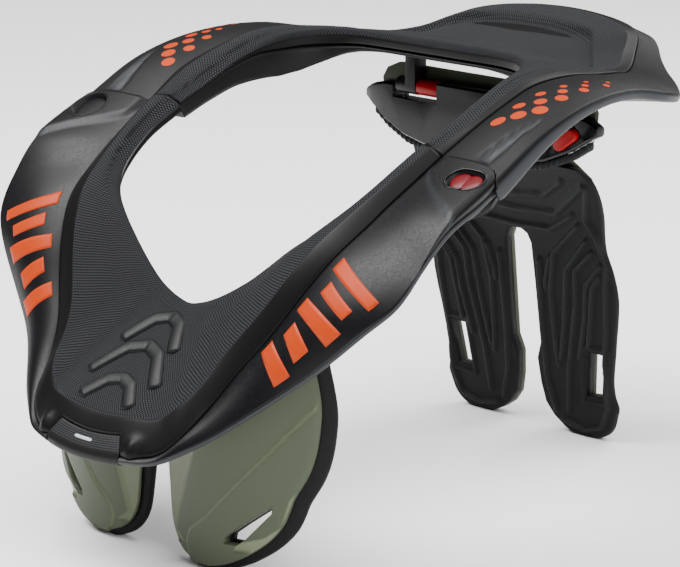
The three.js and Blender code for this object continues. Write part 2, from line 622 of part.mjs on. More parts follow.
// Outlines in the plane x = const: d runs from the seam up the pad, h stands square to it.
const chin = frontStations[(frontStations.length - 1) / 2];
function tabLoft(outline, halfWidth) {
  return loftSolid([-1, -0.6, 0, 0.6, 1].map((share) => {
    const base = seamAtChin(share * halfWidth);
    return outline.map(([d, h]) => {
      const point = at(base, [chin.inward, d], [chin.up, h]);
      return point.setX(point.x * (1 - tabTaper * THREE.MathUtils.clamp(d / tabDepth, 0, 1)));
    });
  }));
}
const tabOutline = [
  [tabDepth, 3.8], [tabDepth * 0.62, 2.7], [tabDepth * 0.27, 1.4], [0.4, 1.1], [-tabLip * 0.64, 0.2],
  [-tabLip, -tabDrop * 0.33], [-tabLip, -tabDrop * 0.7], [-tabLip * 0.64, -tabDrop * 0.95], [0, -tabDrop],
  [0, -padEdge], [tabDepth, -padEdge],
];
const tabRoom = [
  [tabDepth + fitGap, farAway / 4], [tabDepth + fitGap, -padEdge - fitGap], [fitGap, -padEdge - fitGap],
  [fitGap, -farAway / 8], [-farAway / 4, -farAway / 8], [-farAway / 4, farAway / 4], [0, farAway / 4],
  [tabDepth, farAway / 4],
];

// Chest plates

const chestFace = (x) => -chestBulge + (x - chestBulgeX) ** 2 / (2 * chestRadius);
const mix = THREE.MathUtils.lerp;
const spread = (from, to, count) => Array.from({ length: count }, (_, i) => mix(from, to, i / (count - 1)));

function chestOutline(z) {
  const share = z / hingeHeight;
  const i = Math.max(1, chestRows.findIndex((row) => row.z >= share - 1e-9));
  const [low, high] = [chestRows[i - 1], chestRows[i]];
  const t = (share - low.z) / (high.z - low.z);
  return [mix(low.inner, high.inner, t) * hingeX, mix(low.outer, high.outer, t) * hingeX];
}

// Ring at one height between two faces that follow the chest
function chestRing(side, z, [inner, outer], front, back) {
  const samples = spread(inner + chestChamfer, outer - chestChamfer, 9);
  const point = (x, y) => vec(side * x, chestFace(x) + y, z);
  return [
    ...samples.map((x) => point(x, front)),
    point(outer, front + chestChamfer),
    point(outer, back - chestChamfer),
    ...samples.reverse().map((x) => point(x, back)),
    point(inner, back - chestChamfer),
    point(inner, front + chestChamfer),
  ];
}

const wallMatrix = new THREE.Matrix4().makeBasis(vec(1, 0, 0), vec(0, 0, -1), vec(0, 1, 0));
const wallPrism = (points, low, high) => prism(points.map(([x, z]) => [x, -z]), low, high, wallMatrix);
const slotPoints = (table, side) => table.map(([x, z]) => [side * x * hingeX, z * hingeHeight]);

function fitUnderCollar(solid) {
  return solid.subtract(loftSolid(frontStations.map((s) => aboveUnder(frontUnder(s)))));
}

function buildChestFoam(side) {
  const rings = chestRows.map((row) => {
    const z = row.z * hingeHeight;
    return chestRing(side, z, chestOutline(z), 0, chestFoamThick);
  });
  return fitUnderCollar(loftSolid(rings).subtract(wallPrism(slotPoints(chestSlot, side), ...chestRange)));
}

function buildChestPlate(side) {
  const top = chestRows.at(-1).z * hingeHeight;
  const rings = chestRows.filter((row) => row.z * hingeHeight < top - chestFoamBorder).map((row) => {
    const z = row.z * hingeHeight;
    const [inner, outer] = chestOutline(z);
    const inset = chestFoamBorder * mix(0.45, 1, Math.min(1, z / (top * 0.3)));
    const across = [inner + inset, outer - inset];
    return chestRing(side, z + chestFoamBorder, across, -plateSeat - chestPlateThick, -plateSeat);
  });
  return fitUnderCollar(loftSolid(rings).subtract(wallPrism(slotPoints(chestSlot, side), ...chestRange)));
}

// Back plate, its foam and the yoke

const legFace = (z, drop) => legTipY * (1 - drop) - Math.tan(legLean) * z;

function slabRing(z, half, front, thick) {
  const c = backChamfer;
  return [
    vec(-half + c, front, z), vec(half - c, front, z), vec(half, front + c, z),
    vec(half, front + thick - c, z), vec(half - c, front + thick, z), vec(-half + c, front + thick, z),
    vec(-half, front + thick - c, z), vec(-half, front + c, z),
  ];
}

function cutLegs(solid) {
  const left = slotPoints(legGap, 1);
  const right = slotPoints(legGap, -1).reverse();
  let cut = solid.subtract(wallPrism([...left, ...right], ...backRange));
  sides.forEach(([, side]) => {
    cut = cut.subtract(wallPrism(slotPoints(legSlot, side), ...backRange));
  });
  return cut;
}

function buildBackPad() {
  return cutLegs(loftSolid(backRows.map(({ z, half, drop }) =>
    slabRing(z * hingeHeight, half * hingeX, legFace(z * hingeHeight, drop), backPadThick))));
}

function buildBackPlate() {
  const legs = backRows.map(({ z, half, drop }) => {
    const height = z * hingeHeight + (z < 0.1 ? backPlateInset : 0);
    const front = legFace(height, drop) + backPadThick + fitGap;
    return slabRing(height, half * hingeX - backPlateInset, front, backPlateThick);
  });
  const head = headRows.map(({ z, half, face }) =>
    slabRing(z * hingeHeight, half * hingeX, face * legTipY, backPlateThick));
  let solid = cutLegs(loftSolid([...legs, ...head]));
  sides.forEach(([, side]) => {
    const x = [sleeveInner * side, notchOuter * side];
    const z = [notchFloor - windowHeight / 3, notchFloor + windowHeight];
    solid = solid.subtract(wallPrism(box2(x, z), ...backRange));
  });
  return solid;
}

const sleeveInner = barrelInner - fitGap - sleeveLength;
const notchFloor = pivotHeight - notchDepth;
const box2 = ([x0, x1], [y0, y1]) => [[x0, y0], [x1, y0], [x1, y1], [x0, y1]];

function yokeRing(side, row, foot, front, top) {
  const c = backChamfer;
  const x = side * row.x * yokeHalfWidth;
  return [
    vec(x, front, foot + c), vec(x, front, top - c), vec(x, front + c, top), vec(x, yokeBack - c, top),
    vec(x, yokeBack, top - c), vec(x, yokeBack, foot + c), vec(x, yokeBack - c, foot),
    vec(x, front + c, foot),
  ];
}

const rightRows = yokeRows.slice(1).reverse();
const yokeSides = [...rightRows.map((row) => [-1, row]), ...yokeRows.map((row) => [1, row])];

const axleMatrix = new THREE.Matrix4().makeBasis(vec(0, 1, 0), vec(0, 0, 1), vec(1, 0, 0))
  .setPosition(0, pivotY, pivotHeight);
const axlePrism = (points, low, high) => prism(points, low, high, axleMatrix);

// Face of the left wing, where the capsule button sits
const wingFace = pivotY * yokeRows[3].front;
function capsule(grow, low, high) {
  const along = vec(Math.cos(capsuleSlant), 0, Math.sin(capsuleSlant));
  const back = vec(0, 1, 0);
  const frame = new THREE.Matrix4().makeBasis(along, back.clone().cross(along), back);
  frame.setPosition(capsuleX, wingFace, pivotHeight - capsuleDrop);
  const half = capsuleLength / 2 - capsuleRadius;
  const radius = capsuleRadius + grow;
  const outline = [...arcPoints(radius, -90, 90, 8, [half, 0]), ...arcPoints(radius, 90, 270, 8, [-half, 0])];
  return prism(outline, low, high, frame);
}

function buildYoke() {
  let solid = loftSolid(yokeSides.map(([side, row]) =>
    yokeRing(side, row, row.foot * pivotHeight, row.front * pivotY, row.top * pivotHeight)));
  sides.forEach(([, side]) => {
    const notchX = [(sleeveInner - fitGap) * side, notchOuter * side];
    const notch = box2(notchX, [notchFloor, notchFloor + farAway]);
    solid = solid.subtract(wallPrism(notch, ...backRange));
  });
  solid = solid.subtract(capsule(fitGap, -farAway / 4, capsuleSeat + capsuleTravel + fitGap));
  return solid.subtract(axlePrism(circle(pinRodRadius + fitGap, 16), -farAway, farAway));
}

function buildSkirt() {
  return loftSolid(yokeSides.filter(([, row]) => row.x < 1).map(([side, row]) => {
    const top = row.foot * pivotHeight - fitGap;
    return yokeRing(side, row, top - skirtHeight, skirtFront + (row.front * pivotY - wingFace), top);
  }));
}

function buildPivotBar() {
  let solid = axlePrism(circle(pinRodRadius, 16), -barrelOuter, barrelOuter);
  sides.forEach(([, side]) => {
    const [low, high] = [barrelInner * side, barrelOuter * side].sort((a, b) => a - b);
    solid = solid.add(axlePrism(circle(barrelRadius, 20), low, high));
    const [inner, outer] = [barrelInner * side, (barrelInner + lugWidth) * side].sort((a, b) => a - b);
    solid = solid.add(axlePrism(box2([-barrelRadius, barrelRadius], [0, farAway / 2]), inner, outer));
  });
  return solid.subtract(loftSolid(rearStations.map((s) => aboveUnder(rearUnder(s)))));
}

function buildSleeve(side) {
  const [low, high] = [sleeveInner * side, (sleeveInner + sleeveLength) * side].sort((a, b) => a - b);
  return axlePrism(circle(sleeveRadius, 20), low, high)
    .subtract(axlePrism(circle(pinRodRadius + fitGap, 16), low - 1, high + 1));
}

// Cap and button at the hinge

function buildHingeCap() {
  const low = -capRecess + fitGap;
  return hingePrism(pinSide, circle(capRadius, 28), low, low + capThick)
    .subtract(hingePrism(pinSide, circle(capRadius * 0.62, 6), low + capThick * 0.55, 0));
}

function buildReleaseButton() {
  const low = -earThick + buttonFloor + fitGap + buttonTravel;
  return hingePrism(-pinSide, peanut(0), low, low + buttonThick);
}

// Assembly

const tabSpace = tabLoft(tabRoom, tabHalfWidth + fitGap * 2);
const black = materialOf(satinBlack, 0.45);
addNode('front_shell', toGeometry(buildFrontShell().subtract(tabSpace)), black);
addNode('front_pad', toGeometry(buildFrontPad().subtract(tabSpace)), materialOf(foamGrey, 0.85));
addNode('front_tab', toGeometry(tabLoft(tabOutline, tabHalfWidth)), materialOf(blackFoam, 0.7));
addNode('hinge_cap', toGeometry(buildHingeCap()), materialOf(satinBlack, 0.5));
addNode('release_button', toGeometry(buildReleaseButton()), materialOf(glossRed, 0.2));
addNode('rear_shell', toGeometry(buildRearShell()), materialOf(satinBlack, 0.5));
addNode('rear_pad', toGeometry(buildRearPad()), materialOf(foamGrey, 0.85));
addNode('pivot_bar', toGeometry(buildPivotBar()), materialOf(satinBlack, 0.4));
sides.forEach(([name, side]) => {
  addNode(`chest_plate_${name}`, toGeometry(buildChestPlate(side)), materialOf(olive, 0.45));
  addNode(`chest_foam_${name}`, toGeometry(buildChestFoam(side)), materialOf(blackFoam, 0.8));
  addNode(`pivot_sleeve_${name}`, toGeometry(buildSleeve(side)), materialOf(glossRed, 0.35));
});
addNode('yoke_button', toGeometry(capsule(0, -capsuleProud, capsuleSeat)), materialOf(glossRed, 0.35));
addNode('back_plate', toGeometry(buildBackPlate()), materialOf(olive, 0.45));
addNode('back_pad', toGeometry(buildBackPad()), materialOf(blackFoam, 0.7));
addNode('back_yoke', toGeometry(buildYoke()), materialOf(satinBlack, 0.2));
addNode('yoke_skirt', toGeometry(buildSkirt()), materialOf(blackFoam, 0.75));

group.position.y = -(backReach - chinReach) / 2;

export default group;
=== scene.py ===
# Motocross neck brace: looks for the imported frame, for Blender 4.5.
# Lengths are in millimetres about the hinge line and turned into metres where a mesh is made.
import math

import bmesh
import bpy
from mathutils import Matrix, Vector
from mathutils.bvhtree import BVHTree


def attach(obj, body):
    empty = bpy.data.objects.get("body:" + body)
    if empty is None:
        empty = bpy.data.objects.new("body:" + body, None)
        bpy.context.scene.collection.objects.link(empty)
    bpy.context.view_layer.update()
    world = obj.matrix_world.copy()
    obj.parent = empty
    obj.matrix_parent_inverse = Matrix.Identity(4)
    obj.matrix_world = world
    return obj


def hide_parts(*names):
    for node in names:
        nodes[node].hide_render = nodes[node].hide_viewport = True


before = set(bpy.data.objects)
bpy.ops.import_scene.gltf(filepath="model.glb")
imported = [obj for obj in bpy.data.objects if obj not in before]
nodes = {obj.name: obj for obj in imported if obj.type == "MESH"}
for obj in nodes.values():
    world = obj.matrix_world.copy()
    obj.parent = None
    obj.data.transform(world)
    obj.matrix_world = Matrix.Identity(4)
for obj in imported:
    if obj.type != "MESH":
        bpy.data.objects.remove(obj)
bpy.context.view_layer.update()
print("frame loaded")

mm = 0.001

# Sizes of the collar, the same as the frame's
collar = {
    "neckHalfWidth": 84, "neckFront": 52.4, "neckBack": 120.4, "chinReach": 123.5, "backReach": 233,
    "hingeHeight": 188.3, "padWidth": 16.5, "bandWidth": 40, "hingeX": 129, "armTilt": math.radians(30.3),
    "fitGap": 0.3, "padProud": 0.8, "padEdge": 2.4, "padRise": 6, "trayThick": 2.6, "lipHeight": 2.4,
    "grooveDepth": 1.1, "rimHeight": 12, "earThick": 8, "seamRadius": 13.2,
    "pinSide": -1, "stationsPerRow": 3,
}
hingeHeight, hingeX = collar["hingeHeight"], collar["hingeX"]
footprintShift = -(collar["backReach"] - collar["chinReach"]) / 2  # puts the footprint about the origin


def namedRows(keys, rows):
    return [dict(zip(("crest", "seam", "rim") + keys, row)) for row in rows]


# One row per place along the collar: crest, seam and rim as shares of the neck opening, pad width and band
# width, then the shares named above the rows
frontRows = namedRows(("bevel", "rise", "mid", "wall", "edge", "bulge"), [
    ((0, -1, 0.637), (0, -0.994, 0.327), (0, -1, 0.305), 1.09, 1, 0.7, 0.85, 0.42, 0.05),
    ((0.105, -0.995, 0.647), (1.04, -0.98, 0.337), (0.005, -0.985, 0.316), 1.09, 1, 0.7, 0.85, 0.42, 0.05),
    ((0.18, -0.985, 0.66), (1.63, -0.928, 0.348), (0.01, -0.934, 0.324), 1.03, 1, 0.7, 0.95, 0.44, 0.06),
    ((0.25, -0.972, 0.675), (1.81, -0.87, 0.395), (0.12, -0.858, 0.363), 0.91, 1, 0.75, 1, 0.48, 0.12),
    ((0.335, -0.945, 0.697), (1.73, -0.755, 0.465), (0.245, -0.782, 0.405), 0.8, 1, 0.8, 1, 0.5, 0.25),
    ((0.44, -0.903, 0.728), (1.61, -0.657, 0.551), (0.51, -0.656, 0.486), 0.75, 1, 0.85, 1, 0.5, 0.38),
    ((0.56, -0.86, 0.77), (1.575, -0.581, 0.631), (0.75, -0.575, 0.571), 0.7, 1, 0.9, 0.85, 0.5, 0.5),
    ((0.69, -0.8, 0.818), (1.5, -0.497, 0.731), (1.05, -0.498, 0.683), 0.66, 1, 0.95, 0.78, 0.5, 0.55),
    ((0.82, -0.69, 0.86), (1.36, -0.383, 0.829), (1.13, -0.43, 0.75), 0.6, 0.92, 1, 0.65, 0.4, 0.45),
    ((0.923, -0.5, 0.905), (1.09, -0.235, 0.895), (1.12, -0.324, 0.838), 0.55, 0.85, 1.05, 0.4, 0.37, 0.35),
    ((0.975, -0.25, 0.95), (0.92, -0.134, 0.937), (1.1, -0.194, 0.906), 0.48, 0.82, 1.08, 0.3, 0.78, 0.35),
    ((0.996, 0.02, 0.996), (0.93, -0.005, 0.985), (1.05, -0.032, 0.948), 0.42, 0.78, 1.08, 0.28, 1, 0.25),
    ((1, 0.353, 1.038), (0.99, 0.12, 1.031), (0.99, 0.122, 0.993), 0.36, 0.78, 1.08, 0.28, 1, 0.22),
    ((1, 0.65, 1.075), (1.06, 0.235, 1.072), (0.96, 0.24, 1.034), 0.36, 0.78, 1.08, 0.28, 1, 0.22),
])
rearRows = namedRows(("bevel", "rise", "brim", "dip", "mid", "near", "padWall", "wall", "edge", "bulge"), [
    ((0, 1, 1.192), (0, 0.972, 1.216), (0, 1, 1.184), 0.5, 0.3, 0.2, -0.3, -0.38, -0.15, 0.53, 0.14, 0.42, 0),
    ((0.155, 1, 1.192), (1.09, 0.968, 1.206), (0.05, 0.991, 1.182),
     0.5, 0.35, 0.25, -0.25, -0.36, -0.15, 0.53, 0.14, 0.42, 0),
    ((0.31, 0.999, 1.192), (1.75, 0.94, 1.184), (0.15, 0.966, 1.168),
     0.55, 0.25, 0.2, -0.2, -0.3, -0.1, 0.53, 0.14, 0.42, 0.02),
    ((0.452, 0.997, 1.192), (1.8, 0.865, 1.144), (0.26, 0.897, 1.134),
     0.62, 0.1, 0.05, -0.15, -0.15, 0, 0.53, 0.14, 0.42, 0.02),
    ((0.595, 0.988, 1.192), (1.64, 0.803, 1.124), (0.37, 0.846, 1.112),
     0.62, 0.15, 0.1, -0.05, -0.05, 0.05, 0.53, 0.2, 0.42, 0.03),
    ((0.714, 0.968, 1.191), (1.52, 0.738, 1.122), (0.575, 0.785, 1.102),
     0.6, 0.2, 0.15, 0.05, 0.05, 0.1, 0.55, 0.3, 0.43, 0.06),
    ((0.821, 0.918, 1.189), (1.4, 0.678, 1.136), (0.825, 0.7, 1.102),
     0.5, 0.3, 0.3, 0.3, 0.25, 0.2, 0.55, 0.55, 0.44, 0.15),
    ((0.905, 0.832, 1.184), (1.28, 0.58, 1.15), (0.91, 0.612, 1.125),
     0.45, 0.35, 0.4, 0.42, 0.4, 0.3, 0.52, 0.8, 0.45, 0.3),
    ((0.952, 0.74, 1.176), (1.19, 0.467, 1.167), (0.86, 0.515, 1.15),
     0.38, 0.4, 0.5, 0.55, 0.55, 0.4, 0.48, 0.87, 0.46, 0.4),
    ((0.982, 0.631, 1.158), (1.11, 0.345, 1.163), (0.905, 0.399, 1.158),
     0.36, 0.5, 0.65, 0.75, 0.72, 0.5, 0.3, 0.85, 0.47, 0.4),
    ((1, 0.49, 1.127), (1.11, 0.2575, 1.1365), (0.92, 0.282, 1.141),
     0.32, 0.4, 0.55, 0.65, 0.65, 0.48, 0.2, 0.7, 0.55, 0.35),
    ((1, 0.316, 1.078), (1.17, 0.168, 1.1), (0.93, 0.1635, 1.099),
     0.3, 0.35, 0.5, 0.6, 0.6, 0.45, 0.15, 0.55, 0.75, 0.3),
    ((1, 0.154, 1.038), (0.99, 0.0635, 1.031), (1.015, 0.0476, 1.028),
     0.3, 0.5, 0.62, 0.7, 0.68, 0.5, 0.15, 0.54, 1, 0.22),
    ((0.996, 0.009, 0.996), (0.93, -0.003, 0.985), (1.055, -0.03, 0.982),
     0.3, 0.5, 0.62, 0.7, 0.68, 0.5, 0.15, 0.54, 1, 0.22),
])


# Geometry helpers
def toMetres(p):
    return Vector((p[0], p[1] + footprintShift, p[2])) * mm


def smoothStep(low, high, value):
    t = min(1, max(0, (value - low) / (high - low)))
    return t * t * (3 - 2 * t)


def mix(a, b, t):
    return a + (b - a) * t


def curvePoint(points, t):  # centripetal Catmull-Rom, ends carried straight on
    at = t * (len(points) - 1)
    i = min(int(at), len(points) - 2)
    w = at - i
    p1, p2 = points[i], points[i + 1]
    p0 = points[i - 1] if i > 0 else p1 * 2 - p2
    p3 = points[i + 2] if i + 2 < len(points) else p2 * 2 - p1
    d0, d1, d2 = [max((b - a).length ** 0.5, 1e-4) for a, b in ((p0, p1), (p1, p2), (p2, p3))]
    t1 = ((p1 - p0) / d0 - (p2 - p0) / (d0 + d1) + (p2 - p1) / d1) * d1
    t2 = ((p2 - p1) / d1 - (p3 - p1) / (d1 + d2) + (p3 - p2) / d2) * d1
    return p1 + t1 * w + (p2 * 3 - p1 * 3 - t1 * 2 - t2) * w ** 2 + (p1 * 2 - p2 * 2 + t1 + t2) * w ** 3


class Station:  # one place along the collar, with its directions and the shares of its row
    pass


def mirrored(points):
    return [Vector((-p.x, p.y, p.z)) for p in reversed(points[1:])] + points


def stationsOf(rows, opening, reach):
    crest = [Vector((x * collar["neckHalfWidth"], y * opening, z * hingeHeight))
             for x, y, z in [r["crest"] for r in rows]]
    seam = [Vector((c.x + r["seam"][0] * collar["padWidth"], r["seam"][1] * reach, r["seam"][2] * hingeHeight))
            for c, r in zip(crest, rows)]
    rim = [Vector((s.x + r["rim"][0] * collar["bandWidth"], r["rim"][1] * reach, r["rim"][2] * hingeHeight))
           for s, r in zip(seam, rows)]
    curves = [mirrored(points) for points in (crest, seam, rim)]
    count = 2 * (len(rows) - 1) * collar["stationsPerRow"]
    stations = []
    along = 0
    for i in range(count + 1):
        t = i / count
        s = Station()
        s.crest, s.seam, s.rim = [curvePoint(c, t) for c in curves]
        ahead, behind = [curvePoint(curves[1], min(1, max(0, t + d / count))) for d in (0.5, -0.5)]
        tangent = (ahead - behind).normalized()

        def upright(direction):
            normal = direction.cross(tangent).normalized()
            return -normal if normal.z < 0 else normal

        s.inward = (s.crest - s.seam).normalized()
        s.outward = (s.rim - s.seam).normalized()
        s.up = upright(s.inward)
        s.upBand = upright(s.crest - s.rim)
        s.length = (s.crest - s.seam).length
        s.share = abs(2 * t - 1)
        place = s.share * (len(rows) - 1)
        low = min(int(place), len(rows) - 2)
        for key in rows[0]:
            if key not in ("crest", "seam", "rim"):
                setattr(s, key, mix(rows[low][key], rows[low + 1][key], place - low))
        if stations:
            along += (s.seam - stations[-1].seam).length
        s.along = along
        stations.append(s)
    middle = stations[count // 2].along
    for s in stations:
        s.along -= middle
    return stations


frontStations = stationsOf(frontRows, collar["neckFront"], collar["chinReach"])
rearStations = stationsOf(rearRows, collar["neckBack"], collar["backReach"])
down = Vector((0, 0, -1))


def shadeSmooth(mesh):
    for polygon in mesh.polygons:
        polygon.use_smooth = True


def meshObject(name, bm):  # turns a finished bmesh into an object
    bmesh.ops.recalc_face_normals(bm, faces=bm.faces)
    mesh = bpy.data.meshes.new(name)
    bm.to_mesh(mesh)
    bm.free()
    thing = bpy.data.objects.new(name, mesh)
    bpy.context.scene.collection.objects.link(thing)
    return thing


def applyModifiers(thing):
    bpy.context.view_layer.update()
    graph = bpy.context.evaluated_depsgraph_get()
    mesh = bpy.data.meshes.new_from_object(thing.evaluated_get(graph), preserve_all_data_layers=True,
                                           depsgraph=graph)
    thing.modifiers.clear()
    thing.data = mesh
    shadeSmooth(mesh)
    return thing


def cage(name, rings, alongs, levels=2, endCrease=1.0):  # ring points hold position, crease, zone, across
    bm = bmesh.new()
    creaseLayer = bm.edges.layers.float.new("crease_edge")
    grain = bm.verts.layers.float_vector.new("grain")
    zone = bm.verts.layers.float.new("zone")
    grid = []
    for ring, along in zip(rings, alongs):
        line = []
        for position, crease, zoneValue, across in ring:
            v = bm.verts.new(toMetres(position))
            v[grain] = Vector((along, across, 0)) * mm
            v[zone] = zoneValue
            line.append(v)
        grid.append(line)
    count = len(grid[0])
    for r in range(len(grid) - 1):
        for i in range(count):
            j = (i + 1) % count
            bm.faces.new((grid[r][i], grid[r][j], grid[r + 1][j], grid[r + 1][i]))
    bm.faces.new(grid[0][::-1])
    bm.faces.new(grid[-1])
    for r in range(len(grid) - 1):
        for i in range(count):
            edge = bm.edges.get((grid[r][i], grid[r + 1][i]))
            edge[creaseLayer] = rings[r][i][1]
    for line in (grid[0], grid[-1]):
        for i in range(count):
            bm.edges.get((line[i], line[(i + 1) % count]))[creaseLayer] = endCrease
    thing = meshObject(name, bm)
    subdivide = thing.modifiers.new("Subdivision", "SUBSURF")
    subdivide.levels = levels
    subdivide.render_levels = levels
    return applyModifiers(thing)


def at(base, *moves):
    p = base.copy()
    for direction, distance in moves:
        p += direction * distance
    return p


# Cutters in the hinge's own frame
tilt = collar["armTilt"]
hingeNormal = Vector((0, -math.sin(tilt), math.cos(tilt)))
armBack = Vector((0, math.cos(tilt), math.sin(tilt)))


def prismObject(name, points, low, high, origin, xAxis, yAxis, zAxis):
    bm = bmesh.new()
    rows = []
    for h in (low, high):
        rows.append([bm.verts.new(toMetres(origin + xAxis * x + yAxis * y + zAxis * h)) for x, y in points])
    count = len(points)
    for i in range(count):
        j = (i + 1) % count
        bm.faces.new((rows[0][i], rows[0][j], rows[1][j], rows[1][i]))
    bm.faces.new(rows[0][::-1])
    bm.faces.new(rows[1])
    return meshObject(name, bm)


def hingePoint(side):
    return Vector((side * hingeX, 0, hingeHeight))


def hingePrism(side, points, low, high):
    return prismObject("cutter", points, low, high, hingePoint(side), Vector((side, 0, 0)), armBack,
                       hingeNormal)


def wallPrism(points, low, high):
    return prismObject("cutter", points, low, high, Vector((0, 0, 0)), Vector((1, 0, 0)), Vector((0, 0, 1)),
                       Vector((0, 1, 0)))


def cut(thing, cutters, operation="DIFFERENCE"):
    for cutter in cutters:
        modifier = thing.modifiers.new("Cut", "BOOLEAN")
        modifier.object = cutter
        modifier.operation = operation
        modifier.solver = "MANIFOLD"
    applyModifiers(thing)
    for cutter in cutters:
        bpy.data.objects.remove(cutter)
    return thing


def arc(radius, start, end, count, centre=(0, 0)):
    angles = [math.radians(mix(start, end, i / count)) for i in range(count + 1)]
    return [(centre[0] + radius * math.cos(a), centre[1] + radius * math.sin(a)) for a in angles]


farAway = 80  # past the edge of any piece
seamInner = hingeX - collar["neckHalfWidth"]


def seamLine(clearance):
    radius = collar["seamRadius"] + clearance
    return [(farAway, 0)] + arc(radius, 0, 88, 16) + [
        (-0.62 * seamInner, 1.18 * collar["seamRadius"] + clearance),
        (-seamInner, 1.45 * collar["seamRadius"] + clearance),
        (-farAway, 1.45 * collar["seamRadius"] + clearance)]


def behindSeam(clearance):
    return seamLine(clearance) + [(-farAway, farAway), (farAway, farAway)]


def aheadOfSeam(clearance):
    return seamLine(clearance) + [(-farAway, -farAway), (farAway, -farAway)]


# Front pad: moulded foam under ribbed cloth, smooth along its outer bevel
def padFoot(s, wall):
    outer = at(s.seam, (s.inward, collar["fitGap"]), (s.up, -collar["padEdge"]))
    return outer, at(s.crest, (down, wall), (s.inward, 0.6))


def frontPadRing(s):
    wall = s.wall * collar["padWidth"]
    outer, inner = padFoot(s, wall)
    bevel = s.bevel * collar["padWidth"]
    rise = s.rise * collar["padRise"]
    shoulder = min(7, s.length * 0.16)
    rest = s.length - bevel
    face = lambda across, height: at(s.seam, (s.inward, across), (s.up, height))
    return [
        (outer, 0.8, 0, -3),
        (face(collar["fitGap"], collar["padProud"]), 0.75, 0, 0),
        (face(bevel * 0.5, rise * 0.66), 0, 0, bevel * 0.5),
        (face(bevel * 0.93, rise * 0.97), 0.35, 0.3, bevel * 0.93),
        (face(bevel * 1.04, rise), 0.5, 1, bevel * 1.04),
        (face(bevel + rest * 0.33, rise * (s.mid + 1) / 2), 0, 1, bevel + rest * 0.33),
        (face(bevel + rest * 0.66, rise * s.mid * 0.82), 0, 1, bevel + rest * 0.66),
        (at(s.crest, (s.inward, -shoulder), (s.up, rise * s.mid * 0.45)), 0, 1, s.length - shoulder),
        (s.crest, 0, 1, s.length),
        (at(s.crest, (s.inward, 1.8), (down, wall * 0.35)), 0.5, 1, s.length + wall * 0.4),
        (at(s.crest, (s.inward, 1.5), (down, wall * 0.45)), 0.3, 0, s.length + wall * 0.5),
        (inner, 0.8, 0, s.length + wall),
    ]


def rearPadRing(s):
    wall = s.padWall * collar["padWidth"]
    outer, inner = padFoot(s, wall)
    bevel = s.bevel * collar["padWidth"]
    rest = s.length - bevel
    face = lambda across, height: at(s.seam, (s.inward, across), (s.up, height))
    top = lambda share, height: face(bevel + rest * share, height * collar["padRise"])
    rows = [(0, s.rise, 0.45), (0.1, mix(s.rise, s.brim, 0.6), 0), (0.19, s.brim, 0.35),
            (0.235, s.dip, 0.35), (0.36, mix(s.dip, s.mid, 0.5), 0), (0.55, s.mid, 0), (0.76, s.near, 0)]
    ring = [
        (outer, 0.8, 0, -3),
        (face(collar["fitGap"], collar["padProud"]), 0.75, 0, 0),
        (face(bevel * 0.5, s.rise * collar["padRise"] * 0.7), 0, 0.2, bevel * 0.5),
    ]
    ring += [(top(share, height), crease, 1, bevel + rest * share) for share, height, crease in rows]
    shoulder = min(7, s.length * 0.16)
    return ring + [
        (at(s.crest, (s.inward, -shoulder), (s.up, s.near * collar["padRise"] * 0.6)), 0, 1,
         s.length - shoulder),
        (s.crest, 0.3, 1, s.length),
        (at(s.crest, (s.inward, 1.4), (down, wall * 0.35)), 0, 1, s.length + wall * 0.4),
        (at(s.crest, (s.inward, 1.5), (down, wall * 0.55)), 0.3, 0, s.length + wall * 0.6),
        (inner, 0.8, 0, s.length + wall),
    ]


# Shells
def bandTop(s, rimTop):
    points = []
    width = (rimTop - s.seam).length
    for share in (0.07, 0.2, 0.4, 0.6, 0.8, 0.93):
        swell = s.bulge * collar["earThick"] * math.sin(math.pi * min(1, share * 1.02)) ** 0.8
        points.append((at(s.seam, (rimTop - s.seam, share), (s.upBand, swell)), 0, 1 + share, width * share))
    return points


def rebate(s, outer, inner):  # where the pad sits in a shell
    return [(at(inner, (down, collar["fitGap"])), 0.8, 0, -9),
            (at(outer, (s.up, -collar["fitGap"])), 0.8, 0, -3),
            (at(s.seam, (s.up, -collar["padEdge"] - collar["fitGap"])), 0.9, 0, -1)]


def frontShellRing(s):
    outer, inner = padFoot(s, s.wall * collar["padWidth"])
    rimTop = at(s.rim, (s.upBand, s.edge * collar["earThick"]))
    width = (rimTop - s.seam).length
    lip, groove = collar["lipHeight"], collar["grooveDepth"]
    tray = collar["fitGap"] + collar["trayThick"]
    return [(s.seam, 0.9, 1, 0)] + bandTop(s, rimTop) + [
        (rimTop, 0.7, 2, width),
        (at(s.rim, (s.upBand, lip + groove * 0.6), (s.outward, -groove * 0.2)), 0.5, 2.2, width + 1),
        (at(s.rim, (s.upBand, lip + groove * 0.3), (s.outward, -groove)), 0.6, 2.4, width + 2),
        (at(s.rim, (s.upBand, lip)), 0.6, 3, width + 3),
        (at(s.rim, (s.upBand, 0.2)), 0.5, 3, width + 5),
        (at(s.rim, (s.outward, -3)), 0.4, 0, width + 8),
        (at(s.seam, (s.up, -collar["padEdge"] - tray)), 0, 0, -4),
        (at(inner, (down, tray)), 0.8, 0, -8),
    ] + rebate(s, outer, inner)


